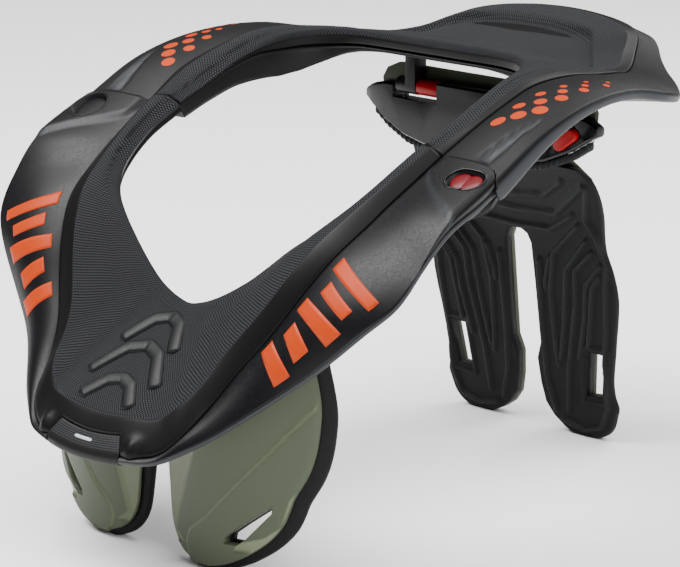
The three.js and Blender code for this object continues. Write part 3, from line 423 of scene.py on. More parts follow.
def rearShellRing(s):
    outer, inner = padFoot(s, s.padWall * collar["padWidth"])
    edge = s.edge * collar["rimHeight"]
    width = (s.rim - s.seam).length
    wall = s.wall * collar["padWidth"]
    return [(s.seam, 0.9, 1, 0)] + bandTop(s, s.rim) + [
        (s.rim, 0.55, 2, width),
        (at(s.rim, (s.upBand, -edge * 0.3), (s.outward, 1.25)), 0.35, 3, width + 3),
        (at(s.rim, (s.upBand, -edge * 0.82), (s.outward, 0.95)), 0.4, 3, width + edge * 0.8),
        (at(s.rim, (s.upBand, -edge), (s.outward, -1.4)), 0.5, 0, width + edge),
        (at(s.seam, (s.up, -collar["padEdge"] - collar["fitGap"] - max(collar["trayThick"], wall * 0.75))),
         0, 0, -4),
        (at(inner, (down, collar["fitGap"] + wall)), 0.6, 0, -8),
    ] + rebate(s, outer, inner)


def loftPiece(name, stations, ring):
    return cage(name, [ring(s) for s in stations], [s.along for s in stations])


frontShell = loftPiece("front_shell_moulding", frontStations, frontShellRing)
frontPad = loftPiece("front_pad_cover", frontStations, frontPadRing)
rearShell = loftPiece("rear_shell_moulding", rearStations, rearShellRing)
rearPad = loftPiece("rear_pad_cover", rearStations, rearPadRing)
print("collar lofted", [len(o.data.polygons) for o in (frontShell, frontPad, rearShell, rearPad)])


# Relief that the render needs beyond the solid shapes
def fitPoint(co):  # back to millimetres about the hinge line
    return Vector((co.x / mm, co.y / mm - footprintShift, co.z / mm))


def addFloat(mesh, name, values):
    layer = mesh.attributes.new(name, "FLOAT", "POINT")
    layer.data.foreach_set("value", values)


def shape(thing, relief):  # lifts vertices along their normals and keeps, for the shaders, the value that paints highlights and paler tones
    mesh = thing.data
    zones = [d.value for d in mesh.attributes["zone"].data]
    normals = [v.normal.copy() for v in mesh.vertices]
    highlightAndToneValues = []
    for v, zone, normal in zip(mesh.vertices, zones, normals):
        lift, highlightAndTone = relief(fitPoint(v.co), zone)
        v.co += normal * lift * mm
        highlightAndToneValues.append(highlightAndTone)
    addFloat(mesh, "highlightAndTone", highlightAndToneValues)


# Step up to the pod at each hinge: where it starts at the seam, how far it runs forward towards the rim
podStep = {"height": 1.7, "back": 6, "slope": 34, "power": 0.7, "width": 5.4}


def podRelief(p, zone):
    if zone < 1 or zone > 2.1:
        return 0, 0
    share = min(1, zone - 1)
    start = podStep["back"] - podStep["slope"] * share ** podStep["power"]
    step = smoothStep(start, start + podStep["width"], p.y)
    fade = smoothStep(0, 0.12, share) * (1 - smoothStep(0.93, 1.02, share) * 0.5)
    return podStep["height"] * step * fade, 3.2 * step * (1 - step)  # the sloping wall catches the light


wedge = {"front": (126.5, 15.5), "tip": (133, 48), "half": 4.2, "depth": 2.4}  # narrow recess on each rear arm


def wedgeRelief(p, zone):
    if zone < 1 or zone > 2 or p.y > 60:
        return 0, 0
    (ax, ay), (bx, by) = wedge["front"], wedge["tip"]
    dx, dy = bx - ax, by - ay
    along = ((abs(p.x) - ax) * dx + (p.y - ay) * dy) / (dx * dx + dy * dy)
    if along < -0.1 or along > 1:
        return 0, 0
    beside = abs((abs(p.x) - ax) * dy - (p.y - ay) * dx) / math.hypot(dx, dy)
    half = wedge["half"] * (1 - 0.9 * along)
    inside = (1 - smoothStep(half * 0.6, half + 0.3, beside)) * smoothStep(-0.04, 0.02, along)
    return -wedge["depth"] * inside * (1 - 0.6 * along), inside * 0.95


padRecess = {"back": 197, "front": 132, "cornerX": 43, "sideX": 76, "sideY": 158, "depth": 3, "step": 3.6}


def padRelief(p, zone):  # the recess in the middle of the rear pad
    if zone < 0.9:
        return 0, 0
    x = abs(p.x)
    dx, dy = padRecess["sideX"] - padRecess["cornerX"], padRecess["sideY"] - padRecess["back"]
    inward = ((x - padRecess["cornerX"]) * dy - (p.y - padRecess["back"]) * dx) / math.hypot(dx, dy)
    depth = smoothStep(0, padRecess["step"], padRecess["back"] - p.y)
    depth *= smoothStep(0, padRecess["step"], -inward if dx * dy > 0 else inward)
    depth *= smoothStep(padRecess["front"], padRecess["front"] + 22, p.y)
    return -padRecess["depth"] * depth, depth


noseRidge = {"x": 30, "wide": 3.6, "lift": 2.4, "seamZ": 61.6, "slope": 0.64}


def noseRelief(p, zone):  # smooth ridges of the pad beside the tab
    if p.y > -95:
        return 0, 0
    d = (p.z - noseRidge["seamZ"]) / noseRidge["slope"]
    ridge = math.exp(-((abs(p.x) - noseRidge["x"]) / noseRidge["wide"]) ** 2)
    return noseRidge["lift"] * ridge * smoothStep(-1, 5, d) * (1 - smoothStep(11, 19, d)), 0


for thing, relief in ((frontShell, podRelief), (frontPad, noseRelief), (rearShell, wedgeRelief),
                      (rearPad, padRelief)):
    shape(thing, relief)

# Tongue and pocket of the two hinges, hinge cap and release button; heights are off the hinge plane
latch = {
    "tongueRadius": 10.5, "tongueLow": -12.3, "tongueHigh": -8.3, "tongueSide": 9, "tongueBack": 22.4,
    "pocketRadius": 11.5, "seamGap": 0.4, "padGap": 0.8, "capRadius": 8.8, "capGap": 0.9, "capFloor": -2.6,
    "buttonRadius": 5.9, "buttonPitch": 6.4, "buttonGap": 0.3, "buttonFloor": -6.4,
    "ovalLength": 20.2, "ovalWidth": 14, "ovalFloor": -2, "above": 20,
}
pocket = arc(latch["pocketRadius"], -180, 0, 20) + [
    (farAway / 2, 0), (farAway / 2, farAway / 2), (-latch["pocketRadius"], farAway / 2)]
tongue = arc(latch["tongueRadius"], -180, 0, 20) + [
    (latch["tongueSide"], 8), (latch["tongueSide"], latch["tongueBack"]),
    (-latch["tongueRadius"], latch["tongueBack"])]


def peanut(grow):  # two circles that overlap
    radius, half = latch["buttonRadius"] + grow, latch["buttonPitch"] / 2
    waist = math.degrees(math.acos(half / radius))
    right = arc(radius, waist - 180, 180 - waist, 32, (half, 0))
    return right + arc(radius, waist, 360 - waist, 32, (-half, 0))[1:-1]


def ovalPoints(length, width, count=56):
    half = (length - width) / 2
    return arc(width / 2, -90, 90, count // 2, (half, 0)) + arc(width / 2, 90, 270, count // 2, (-half, 0))


pinSide = collar["pinSide"]
cut(frontShell, [hingePrism(side, behindSeam(0), -farAway, farAway) for side in (-1, 1)])
cut(frontShell, [hingePrism(side, pocket, -farAway, -collar["earThick"]) for side in (-1, 1)])
recesses = ((pinSide, arc(latch["capRadius"] + latch["capGap"], 0, 354, 59), "capFloor"),
            (-pinSide, ovalPoints(latch["ovalLength"], latch["ovalWidth"]), "ovalFloor"),
            (-pinSide, peanut(latch["buttonGap"]), "buttonFloor"))
cut(frontShell, [hingePrism(side, points, latch[floor], latch["above"]) for side, points, floor in recesses])
cut(frontPad, [hingePrism(side, behindSeam(0), -farAway, farAway) for side in (-1, 1)])
cut(rearShell, [hingePrism(side, aheadOfSeam(latch["seamGap"]), -farAway, farAway) for side in (-1, 1)])
cut(rearShell, [hingePrism(side, tongue, latch["tongueLow"], latch["tongueHigh"]) for side in (-1, 1)], "UNION")
cut(rearPad, [hingePrism(side, aheadOfSeam(latch["padGap"]), -farAway, farAway) for side in (-1, 1)])
print("collar cut and shaped")


# Strokes, dots and bars laid on a surface
def treeOf(thing):
    mesh = thing.data
    return BVHTree.FromPolygons([fitPoint(v.co) for v in mesh.vertices],
                                [list(f.vertices) for f in mesh.polygons])


trees = {thing.name: treeOf(thing) for thing in (frontShell, frontPad, rearShell, rearPad)}
castReach = 60  # mm back along the ray, so that it starts outside the piece


def landOn(thing, point, direction):
    hit, normal, _, _ = trees[thing.name].ray_cast(point - direction * castReach, direction)
    if hit is None:
        return point, -direction
    return hit, normal if normal.dot(direction) < 0 else -normal


def patchOn(name, thing, outlines, direction, lift=0.1, sink=0.2):  # thin raised patches, one per outline
    bm = bmesh.new()
    for outline in outlines:
        tops, feet = [], []
        for p in outline:
            hit, normal = landOn(thing, p, direction)
            tops.append(bm.verts.new(toMetres(hit + normal * lift)))
            feet.append(bm.verts.new(toMetres(hit - normal * sink)))
        middle, normal = landOn(thing, sum(outline, Vector()) / len(outline), direction)
        centre = bm.verts.new(toMetres(middle + normal * lift))
        for i in range(len(outline)):
            j = (i + 1) % len(outline)
            bm.faces.new((tops[i], tops[j], centre))
            bm.faces.new((feet[i], feet[j], tops[j], tops[i]))
    return meshObject(name, bm)


def gridPatchOn(name, thing, grids, direction, lift=0.12):  # wide patches that follow a curved surface
    bm = bmesh.new()
    for grid in grids:
        rows = []
        for line in grid:
            landed = [landOn(thing, p, direction) for p in line]
            rows.append([bm.verts.new(toMetres(p + normal * lift)) for p, normal in landed])
        for a, b in zip(rows, rows[1:]):
            for i in range(len(a) - 1):
                bm.faces.new((a[i], a[i + 1], b[i + 1], b[i]))
    thing = meshObject(name, bm)
    shell = thing.modifiers.new("Solidify", "SOLIDIFY")
    shell.thickness = 0.2 * mm
    shell.offset = 0
    return applyModifiers(thing)


def strokeOn(name, thing, lines, direction, width, height, sink=0.5):  # rounded strokes along polylines
    bm = bmesh.new()
    section = [(-1, -sink), (-1, height * 0.35), (-0.6, height), (0.6, height), (1, height * 0.35), (1, -sink)]
    for line in lines:
        count = max(2, int(sum((b - a).length for a, b in zip(line, line[1:])) / 1.2))
        lengths = [0]
        for a, b in zip(line, line[1:]):
            lengths.append(lengths[-1] + (b - a).length)
        rows = []
        for i in range(count + 1):
            target = lengths[-1] * i / count
            k = max(j for j in range(len(line) - 1) if lengths[j] <= target + 1e-6)
            p = line[k].lerp(line[k + 1], (target - lengths[k]) / (lengths[k + 1] - lengths[k]))
            rows.append(landOn(thing, p, direction))
        ends = min(1, count // 2)
        rings = []
        for i, (p, normal) in enumerate(rows):
            ahead = rows[min(i + 1, count)][0] - rows[max(i - 1, 0)][0]
            side = ahead.cross(normal).normalized()
            half = width / 2 * (0.35 if i < ends or i > count - ends else 1)
            rings.append([bm.verts.new(toMetres(p + side * half * x + normal * z)) for x, z in section])
        for a, b in zip(rings, rings[1:]):
            for i in range(6):
                j = (i + 1) % 6
                bm.faces.new((a[i], a[j], b[j], b[i]))
        bm.faces.new(rings[0][::-1])
        bm.faces.new(rings[-1])
    thing = meshObject(name, bm)
    shadeSmooth(thing.data)
    return thing


def bevelled(name, source, width):  # a copy of a hard solid with its edges broken
    thing = nodes[source].copy()
    thing.data = nodes[source].data.copy()
    thing.name = name
    bpy.context.scene.collection.objects.link(thing)
    bm = bmesh.new()
    bm.from_mesh(thing.data)
    bmesh.ops.remove_doubles(bm, verts=bm.verts, dist=1e-6)
    bmesh.ops.dissolve_limit(bm, angle_limit=math.radians(1.5), verts=bm.verts, edges=bm.edges)
    bm.to_mesh(thing.data)
    bm.free()
    bevel = thing.modifiers.new("Bevel", "BEVEL")
    bevel.width = width * mm
    bevel.segments = 3
    bevel.limit_method = "ANGLE"
    bevel.angle_limit = math.radians(30)
    applyModifiers(thing)
    thing.data.set_sharp_from_angle(angle=math.radians(38))
    return thing


# Chest plates and their foam
chest = {
    "plateThick": 3.4, "foamThick": 4.5, "seat": 0.5, "border": 3.4,  # glue line, and foam seen round the plate
    "bulge": 77, "bulgeX": 32, "radius": 85, "round": 1.3,  # curve of the face and its rounded edge
}
chestRows = [(0, 0.215, 0.33), (0.021, 0.145, 0.43), (0.053, 0.1, 0.51), (0.09, 0.075, 0.575),
             (0.133, 0.063, 0.623), (0.175, 0.055, 0.648), (0.202, 0.05, 0.66), (0.266, 0.043, 0.705),
             (0.32, 0.039, 0.727), (0.38, 0.039, 0.739), (0.45, 0.039, 0.743), (0.56, 0.046, 0.72),
             (0.62, 0.05, 0.705)]
chestSlot = [(0.578, 0.205), (0.57, 0.182), (0.48, 0.11), (0.44, 0.087), (0.385, 0.087), (0.39, 0.103),
             (0.46, 0.142)]


def rowCurve(rows, count):  # smooth outline through table rows, evenly spaced along it
    points = [Vector(row) for row in rows]
    return [curvePoint(points, i / (count - 1)) for i in range(count)]


def segmentDistance(line, x, z):  # distance to a polyline and the side it lies on
    best, side = 1e9, 1
    for (ax, az), (bx, bz) in zip(line, line[1:]):
        dx, dz = bx - ax, bz - az
        t = min(1, max(0, ((x - ax) * dx + (z - az) * dz) / (dx * dx + dz * dz)))
        d = math.hypot(x - ax - t * dx, z - az - t * dz)
        if d < best:
            best, side = d, 1 if dx * (z - az) - dz * (x - ax) > 0 else -1
    return best, side


def chestFace(x):
    return -chest["bulge"] + (x - chest["bulgeX"]) ** 2 / (2 * chest["radius"])


def slabRing(low, high, z, faceY, thick, edges, samples, side=1):  # face, edge, back and the other edge
    fore, aft = edges
    xs = [mix(low + fore, high - fore, i / (samples - 1)) for i in range(samples)]
    ring = [(Vector((side * x, faceY(x), z)), 0.2 if x in (xs[0], xs[-1]) else 0, 1, x) for x in xs]
    ring += [(Vector((side * high, faceY(high) + y, z)), 0.3, 0, high) for y in (fore, thick - aft)]
    ring += [(Vector((side * x, faceY(x) + thick, z)), 0, 0, x) for x in xs[::-1]]
    return ring + [(Vector((side * low, faceY(low) + y, z)), 0.3, 0, low) for y in (thick - aft, fore)]


def plateRings(side, front, back, inset, count=34, samples=22):
    rings, heights = [], []
    edges = (chest["round"], chest["round"] * 0.6)
    for row in rowCurve(chestRows, count):
        z = max(0, row[0]) * hingeHeight + inset
        grow = inset * mix(0.45, 1, min(1, z / 35))
        rings.append(slabRing(row[1] * hingeX + grow, row[2] * hingeX - grow, z, lambda x: chestFace(x) + front,
                              back - front, edges, samples, side))
        heights.append(z)
    return rings, heights


def slotPoints(table, side):
    return [(side * x * hingeX, z * hingeHeight) for x, z in table]


chestCrease = [(97, 94), (70, 61), (40, 28), (28, 18), (26, 12), (28, 6)]
chestOuterBevel = [(93, 108), (95, 89), (97, 70), (95, 61), (81, 42), (77, 28), (70, 22), (56, 17)]
chestInnerBevel = [(36, 72), (31, 57), (25, 39), (18, 16), (23, 12)]


def plateRelief(p, zone):
    if zone <= 0.45:
        return 0, 0
    x = abs(p.x)
    crease, across = segmentDistance(chestCrease, x, p.z)
    lift = 0.9 * smoothStep(-0.9, 0.9, crease * across)
    # painted highlight: paler along the crease and on the bevels below
    highlightAndTone = 0.6 * (1 - smoothStep(0.2, 0.9, crease))
    bevelOuter, beyond = segmentDistance(chestOuterBevel, x, p.z)
    if (beyond > 0 or bevelOuter < 0.6) and x > 56 and p.z > 14:
        outside = min(3.5, bevelOuter) if beyond > 0 else -bevelOuter
        lift -= 0.4 * max(0, outside + 0.3)
        highlightAndTone = max(highlightAndTone, smoothStep(-0.5, 0.4, outside))
    bevelInner, within = segmentDistance(chestInnerBevel, x, p.z)
    if within < 0 and 11 < p.z < 74 and x < 40:
        lift -= 0.4 * min(3, bevelInner)
        highlightAndTone = max(highlightAndTone, 0.6 * smoothStep(0, 0.8, bevelInner))
    return lift * zone, highlightAndTone


def underShellCutter():  # everything above the shell's underside, a little lowered
    rings = []
    for s in frontStations[::2]:
        inner = padFoot(s, s.wall * collar["padWidth"])[1]
        tray = collar["fitGap"] + collar["trayThick"]
        lower = [s.rim, at(s.rim, (s.outward, -3)), at(s.seam, (s.up, -collar["padEdge"] - tray)),
                 at(inner, (down, tray))]
        points = [at(p, (down, collar["fitGap"])) for p in lower]
        points += [at(p, (down, -farAway)) for p in lower[::-1]]
        rings.append([(p, 0, 0, 0) for p in points])
    return cage("cutter", rings, [0] * len(rings), levels=0)


chestPieces = []
for name, side in (("right", -1), ("left", 1)):
    rings, heights = plateRings(side, 0, chest["foamThick"], 0)
    foam = cage(f"chest_foam_{name}_moulding", rings, heights, levels=1, endCrease=0.4)
    cut(foam, [wallPrism(slotPoints(chestSlot, side), -160, 0)])
    cut(foam, [underShellCutter()])
    rings, heights = plateRings(side, -chest["seat"] - chest["plateThick"], -chest["seat"], chest["border"],
                                52, 34)
    plate = cage(f"chest_plate_{name}_moulding", rings, heights, levels=1, endCrease=0.3)
    shape(plate, plateRelief)
    cut(plate, [wallPrism(slotPoints(chestSlot, side), -160, 0)])
    cut(plate, [underShellCutter()])
    for thing, node in ((foam, f"chest_foam_{name}"), (plate, f"chest_plate_{name}")):
        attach(thing, "front_section")
        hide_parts(node)
        chestPieces.append(thing)
print("chest plates", [len(o.data.polygons) for o in chestPieces])

# Back foam with its nested ribs
back = {"tipY": 204.5, "lean": math.radians(8), "padThick": 6, "round": 1.2}
backRows = [(0, 0.35, 0), (0.016, 0.4, 0), (0.042, 0.435, 0), (0.08, 0.455, 0), (0.106, 0.465, 0),
            (0.138, 0.45, 0), (0.18, 0.446, 0), (0.223, 0.454, 0), (0.266, 0.465, 0), (0.32, 0.477, 0),
            (0.382, 0.492, 0), (0.446, 0.5, 0), (0.52, 0.482, 0), (0.573, 0.455, 0), (0.62, 0.452, 0.002),
            (0.68, 0.468, 0.012), (0.745, 0.482, 0.033), (0.8, 0.475, 0.055), (0.84, 0.44, 0.079)]
legGap = [(0.3, -0.06), (0.232, 0), (0.185, 0.016), (0.132, 0.042), (0.09, 0.08), (0.07, 0.138), (0.06, 0.213),
          (0.084, 0.262), (0.079, 0.45), (0.073, 0.565), (0.055, 0.592), (0.025, 0.604)]
legSlot = [(0.315, 0.128), (0.4, 0.134), (0.425, 0.268), (0.34, 0.268)]
ribs = [[(22, 101), (18, 87), (18, 82)], [(44, 122), (25, 104), (21, 82), (22, 50), (23, 39)],
        [(48, 114), (33, 96), (29, 64), (25, 43)], [(51, 108), (39, 96), (38, 78), (30, 39), (28, 14)],
        [(57, 102), (46, 89), (44, 72), (38, 46)], [(55, 95), (50, 88), (45, 55)],
        [(14, 98), (13, 60), (14, 30), (19, 12)],
        [(58, 146), (50, 127), (55, 118), (60, 102), (58, 70), (55, 45), (56, 22), (50, 8), (38, 4), (24, 7)]]
bands = [[(-5, 125), (30, 127), (56, 147)], [(0, 134), (25, 137), (42, 148)], [(0, 116), (24, 117), (42, 128)]]
slotFrame = [(38.5, 21), (54, 22), (57.5, 53), (41.5, 53), (38.5, 21)]


def ribRelief(p, zone):
    if zone <= 0.45:
        return 0, 0
    nearest, frameDistance = [min(segmentDistance(line, abs(p.x), p.z)[0] for line in lines)
                              for lines in (ribs + bands, [slotFrame])]
    rib = 1.9 * (1 - smoothStep(0.5, 1.9, nearest)) - 0.5
    frameLift = 1.2 * (1 - smoothStep(0.8, 1.8, frameDistance)) - 0.5
    # the second value is a painted highlight along the ribs
    return max(rib, frameLift) * zone, 1 - smoothStep(0.4, 1.6, nearest)


def backRings(count, samples):
    rings, heights = [], []
    edges = (back["round"], back["round"])
    for row in rowCurve(backRows, count):
        z = max(0, row[0]) * hingeHeight
        half = row[1] * hingeX
        front = back["tipY"] * (1 - row[2]) - math.tan(back["lean"]) * z
        rings.append(slabRing(-half, half, z, lambda x: front, back["padThick"], edges, samples))
        heights.append(z)
    return rings, heights


def cutLegs(thing):
    gap = slotPoints(legGap, 1) + slotPoints(legGap, -1)[::-1]
    cut(thing, [wallPrism(gap, 80, 320)] + [wallPrism(slotPoints(legSlot, side), 80, 320) for side in (-1, 1)])


rings, heights = backRings(72, 64)
backPad = cage("back_pad_moulding", rings, heights, levels=1, endCrease=0.3)
shape(backPad, ribRelief)
cutLegs(backPad)
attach(backPad, "back_section")
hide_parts("back_pad")
print("back pad", len(backPad.data.polygons))

# Ribbed rubber under the yoke
yoke = {
    "pivotHeight": hingeHeight + 1.7, "pivotY": 155, "halfWidth": 80, "front": 154.5, "back": 161.6,
    "skirt": 4.4, "ribPitch": 3.4, "ribDepth": 0.9,
}
yokeRows = [(0, 0.842, 0.968), (0.415, 0.842, 0.968), (0.61, 0.858, 0.974), (0.8, 0.893, 0.982),
            (0.92, 0.925, 0.99)]


def skirtRing(x, footZ, frontY):
    top = footZ - collar["fitGap"]
    low, c = top - yoke["skirt"], 0.8
    groove = yoke["ribDepth"] * (0.5 + 0.5 * math.cos(2 * math.pi * x / yoke["ribPitch"]))
    front = yoke["front"] + (frontY - yoke["pivotY"] * 0.982) + groove
    points = [(front, low + c), (front, top - c * 0.5), (front + c, top), (yoke["back"] - c, top),
              (yoke["back"], top - c), (yoke["back"], low + c), (yoke["back"] - c, low), (front + c, low)]
    return [(Vector((x, y, z)), 0.3, 1, z) for y, z in points]


def rowAt(rows, share):
    i = min(k for k in range(1, len(rows)) if rows[k][0] >= share - 1e-9)
    t = (share - rows[i - 1][0]) / (rows[i][0] - rows[i - 1][0])
    return [mix(a, b, t) for a, b in zip(rows[i - 1], rows[i])]


skirtCount = 172
skirtRings = []
for i in range(skirtCount + 1):
    share = mix(-0.92, 0.92, i / skirtCount)
    _, foot, front = rowAt(yokeRows, abs(share))
    skirtRings.append(skirtRing(share * yoke["halfWidth"], foot * yoke["pivotHeight"], front * yoke["pivotY"]))
skirt = cage("yoke_skirt_moulding", skirtRings, [r[0][0].x for r in skirtRings], levels=1)
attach(skirt, "back_section")
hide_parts("yoke_skirt")

# Tab at the chin
tab = {"half": 25, "depth": 9, "taper": 0.2}
tabOutline = [(9, 3.8, 1), (5.6, 2.9, 1), (2.4, 1.9, 1), (0.4, 1.3, 0.6), (-1.9, 0.3, 0), (-3, -1.6, 0),
              (-3, -3.4, 0), (-1.9, -4.6, 0), (0, -4.8, 0), (0, -2.4, 0), (9, -2.4, 0)]
chin = frontStations[len(frontStations) // 2]


def seamAtChin(x):
    i = next(k for k, s in enumerate(frontStations) if s.seam.x >= x)
    low, high = frontStations[i - 1].seam, frontStations[i].seam
    return low.lerp(high, (x - low.x) / (high.x - low.x))


def tabPoint(x, d, h):  # x across, d up the nose from the seam, h off it
    p = at(seamAtChin(x), (chin.inward, d), (chin.up, h))
    p.x *= 1 - tab["taper"] * min(1, max(0, d / tab["depth"]))
    return p


def tabRing(x):
    return [(tabPoint(x, d, h), 0.75 if d == 0.4 else 0.3, zone, d) for d, h, zone in tabOutline]


tabRoom = [(9.3, 20), (9.3, -2.7), (0.3, -2.7), (0.3, -10), (-20, -10), (-20, 20), (0, 20), (9, 20)]


def tabRoomCutter():
    reach = tab["half"] + 0.6
    rings = [[(tabPoint(mix(-reach, reach, i / 8), d, h), 0, 0, 0) for d, h in tabRoom] for i in range(9)]
    return cage("cutter", rings, [0] * len(rings), levels=0)


for thing in (frontShell, frontPad):
    cut(thing, [tabRoomCutter()])

tabXs = [mix(-tab["half"], tab["half"], i / 20) for i in range(21)]
frontTab = cage("front_tab_moulding", [tabRing(x) for x in tabXs], tabXs, levels=2, endCrease=0.7)
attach(frontTab, "front_section")
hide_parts("front_tab")

for thing, body, node in ((frontShell, "front_section", "front_shell"),
                          (frontPad, "front_section", "front_pad"),
                          (rearShell, "rear_section", "rear_shell"), (rearPad, "rear_section", "rear_pad")):
    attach(thing, body)
    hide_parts(node)

# Hard small pieces: the same solids with broken edges
hardPieces = {
    "back_plate": ("back_section", 0.7), "back_yoke": ("back_section", 1.0), "pivot_bar": ("rear_section", 0.4),
    "pivot_sleeve_left": ("back_section", 0.5), "pivot_sleeve_right": ("back_section", 0.5),
    "yoke_button": ("yoke_button", 1.0),
    "release_button": ("release_button", 0.9),
}
hard = {}
for source, (body, width) in hardPieces.items():
    thing = bevelled(f"{source}_shaped", source, width)
    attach(thing, body)
    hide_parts(source)
    hard[source] = thing
print("small pieces")

# Dots, bars, the tab's line and the raised chevrons
# x, y and radius of each dot on one arm
dots = [(113, 40, 3.6), (119.8, 46.5, 3.8), (113, 55, 3.1), (126.3, 54.3, 3.9), (120.5, 61.5, 3.2),
        (114.3, 69, 2.6), (126.6, 69.6, 3.2), (122, 76, 2.5), (118, 81.5, 1.9), (127.9, 84.6, 2.4),
        (124.3, 89.8, 1.8), (120.9, 94.7, 1.3), (128.8, 100.5, 1.7), (125.8, 105.4, 1.2)]
dropFrom = 260  # above every piece


def blob(x, y, radius):
    turns = [2 * math.pi * i / 24 for i in range(24)]
    return [Vector((x + radius * math.cos(a), y + radius * math.sin(a), dropFrom)) for a in turns]


armDots = patchOn("arm_dots_print", rearShell,
                  [blob(side * x, y, r) for side in (-1, 1) for x, y, r in dots], down)
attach(armDots, "rear_section")


def bandPlace(side, along, share):  # on the front band: mm along the seam from the chin, share across it
    stations = [s for s in frontStations if s.along * side >= 0]
    if side < 0:
        stations = stations[::-1]
    i = next(k for k in range(1, len(stations)) if abs(stations[k].along) >= along)
    low, high = stations[i - 1], stations[i]
    t = (along - abs(low.along)) / (abs(high.along) - abs(low.along))
    ends = [s.seam.lerp(at(s.rim, (s.upBand, s.edge * collar["earThick"])), share) for s in (low, high)]
    return ends[0].lerp(ends[1], t), high.upBand


bars = {"first": 113, "pitch": 12.6, "thick": 7.6, "low": 0.12, "high": 0.86, "slant": -7, "count": 5}


def barGrid(side, start, low, high):
    grid = []
    for i in range(17):
        share = mix(low, high, i / 16)
        along = start + bars["slant"] * i / 16
        grid.append([bandPlace(side, along + bars["thick"] * j / 5, share)[0] for j in range(6)])
    return grid


frontBars = []
for side in (-1, 1):
    grids = []
    for i in range(bars["count"]):
        start = bars["first"] + i * bars["pitch"]
        short = 0.12 * (i % 2)
        grids.append(barGrid(side, start, bars["low"] + short, bars["high"] - short))
    direction = -bandPlace(side, bars["first"] + 28, 0.5)[1]
    piece = gridPatchOn(f"front_bars_print_{'left' if side > 0 else 'right'}", frontShell, grids, direction)
    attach(piece, "front_section")
    frontBars.append(piece)

trees[frontTab.name] = treeOf(frontTab)
intoChin = -chin.up
tabLine = strokeOn("tab_line_print", frontTab,
                   [[at(seamAtChin(x), (chin.inward, 4.6)) for x in (-7, 5)]], intoChin, 1.5, 0.12, 0.3)
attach(tabLine, "front_section")


def onFace(x, d):  # a place on the nose of the pad: x across, d up from the seam
    return at(chin.seam, (chin.inward, d)) + Vector((x, 0, 0))


def chevron(top, half, rise):
    return [onFace(-half, top - rise), onFace(-half * 0.45, top - rise * 0.2), onFace(0, top),
            onFace(half * 0.45, top - rise * 0.2), onFace(half, top - rise)]


panel = strokeOn("chin_panel_moulding", frontPad,
                 [chevron(79, 18, 20), chevron(60, 23, 22), chevron(39, 17, 15)], intoChin, 7.4, 1.1)
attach(panel, "front_section")
print("prints and panel")

# Light-edged ring round the release button and the cap's recess

def ringOn(name, side, outline, width, height):
    line = [hingePoint(side) + Vector((side * x, 0, 0)) + armBack * y for x, y in outline]
    line.append(line[0])
    thing = strokeOn(name, frontShell, [line], -hingeNormal, width, height)
    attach(thing, "front_section")
    return thing


hingeCap = hingePrism(pinSide, arc(latch["capRadius"], 0, 357, 119), -2.1, -0.3)
hingeCap.name = "hinge_cap_moulding"
capBevel = hingeCap.modifiers.new("Bevel", "BEVEL")
capBevel.width = 0.5 * mm
capBevel.segments = 3
applyModifiers(hingeCap).data.set_sharp_from_angle(angle=math.radians(40))
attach(hingeCap, "front_section")
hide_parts("hinge_cap")
buttonRing = ringOn("button_rim_moulding", -pinSide, ovalPoints(21.2, 15, 48), 1.1, 0.35)

domes = {"radius": 5.4, "height": 0.8, "skirt": 1.4, "seat": 0.9}
bm = bmesh.new()
for x in (-latch["buttonPitch"] / 2, latch["buttonPitch"] / 2):  # the two round pads of the release button
    made = bmesh.ops.create_uvsphere(bm, u_segments=48, v_segments=24, radius=1)
    base = hingePoint(-pinSide) + Vector((x, 0, 0)) + hingeNormal * domes["seat"]
    for v in made["verts"]:
        p = v.co.copy()
        place = base + Vector((1, 0, 0)) * p.x * domes["radius"] + armBack * p.y * domes["radius"]
        v.co = toMetres(place + hingeNormal * p.z * domes["height" if p.z > 0 else "skirt"])
buttonDomes = meshObject("release_button_domes", bm)
shadeSmooth(buttonDomes.data)
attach(buttonDomes, "release_button")
capRing = ringOn("cap_rim_moulding", pinSide, arc(latch["capRadius"] + 1.9, 0, 351, 39), 1.2, 0.3)

# Materials


def linear(code):  # sRGB hex to linear colour
    values = [int(code[i:i + 2], 16) / 255 for i in (0, 2, 4)]
    return tuple(v / 12.92 if v <= 0.04045 else ((v + 0.055) / 1.055) ** 2.4 for v in values) + (1,)


def addNode(material, kind, settings=None, **inputs):  # adds one node, with its settings and its links
    node = material.node_tree.nodes.new(kind)
    for key, value in (settings or {}).items():
        setattr(node, key, value)
    for key, value in inputs.items():
        numbered = key[0] == "i" and key[1:].isdigit()
        socket = node.inputs[int(key[1:]) if numbered else key.replace("_", " ")]
        if isinstance(value, bpy.types.NodeSocket):
            material.node_tree.links.new(value, socket)
        else:
            socket.default_value = value
    return node


def surface(name, colour, roughness, look, **extra):
    material = bpy.data.materials.new(name)
    material.use_nodes = True
    shader = material.node_tree.nodes["Principled BSDF"]
    shader.inputs["Base Color"].default_value = linear(colour)
    shader.inputs["Roughness"].default_value = roughness
    for key, value in extra.items():
        shader.inputs[key.replace("_", " ")].default_value = value
    shader.inputs["Specular IOR Level"].default_value = extra.get("Specular_IOR_Level", 0.17)
    look(material, shader)
    return material


def plug(material, output, shader, name):
    material.node_tree.links.new(output, shader.inputs[name])


def speckled(material, shader, scale, low, high, bump):  # fine grain in gloss and height, scale per metre
    place = addNode(material, "ShaderNodeTexCoord").outputs["Object"]
    grain = addNode(material, "ShaderNodeTexNoise", Vector=place, Scale=scale, Detail=4.0)
    gloss = addNode(material, "ShaderNodeMapRange", i0=grain.outputs["Fac"], i1=0.3, i2=0.7, i3=low, i4=high)
    plug(material, gloss.outputs["Result"], shader, "Roughness")
    height = addNode(material, "ShaderNodeBump", Strength=bump, Distance=0.0002, Height=grain.outputs["Fac"])
    plug(material, height.outputs["Normal"], shader, "Normal")


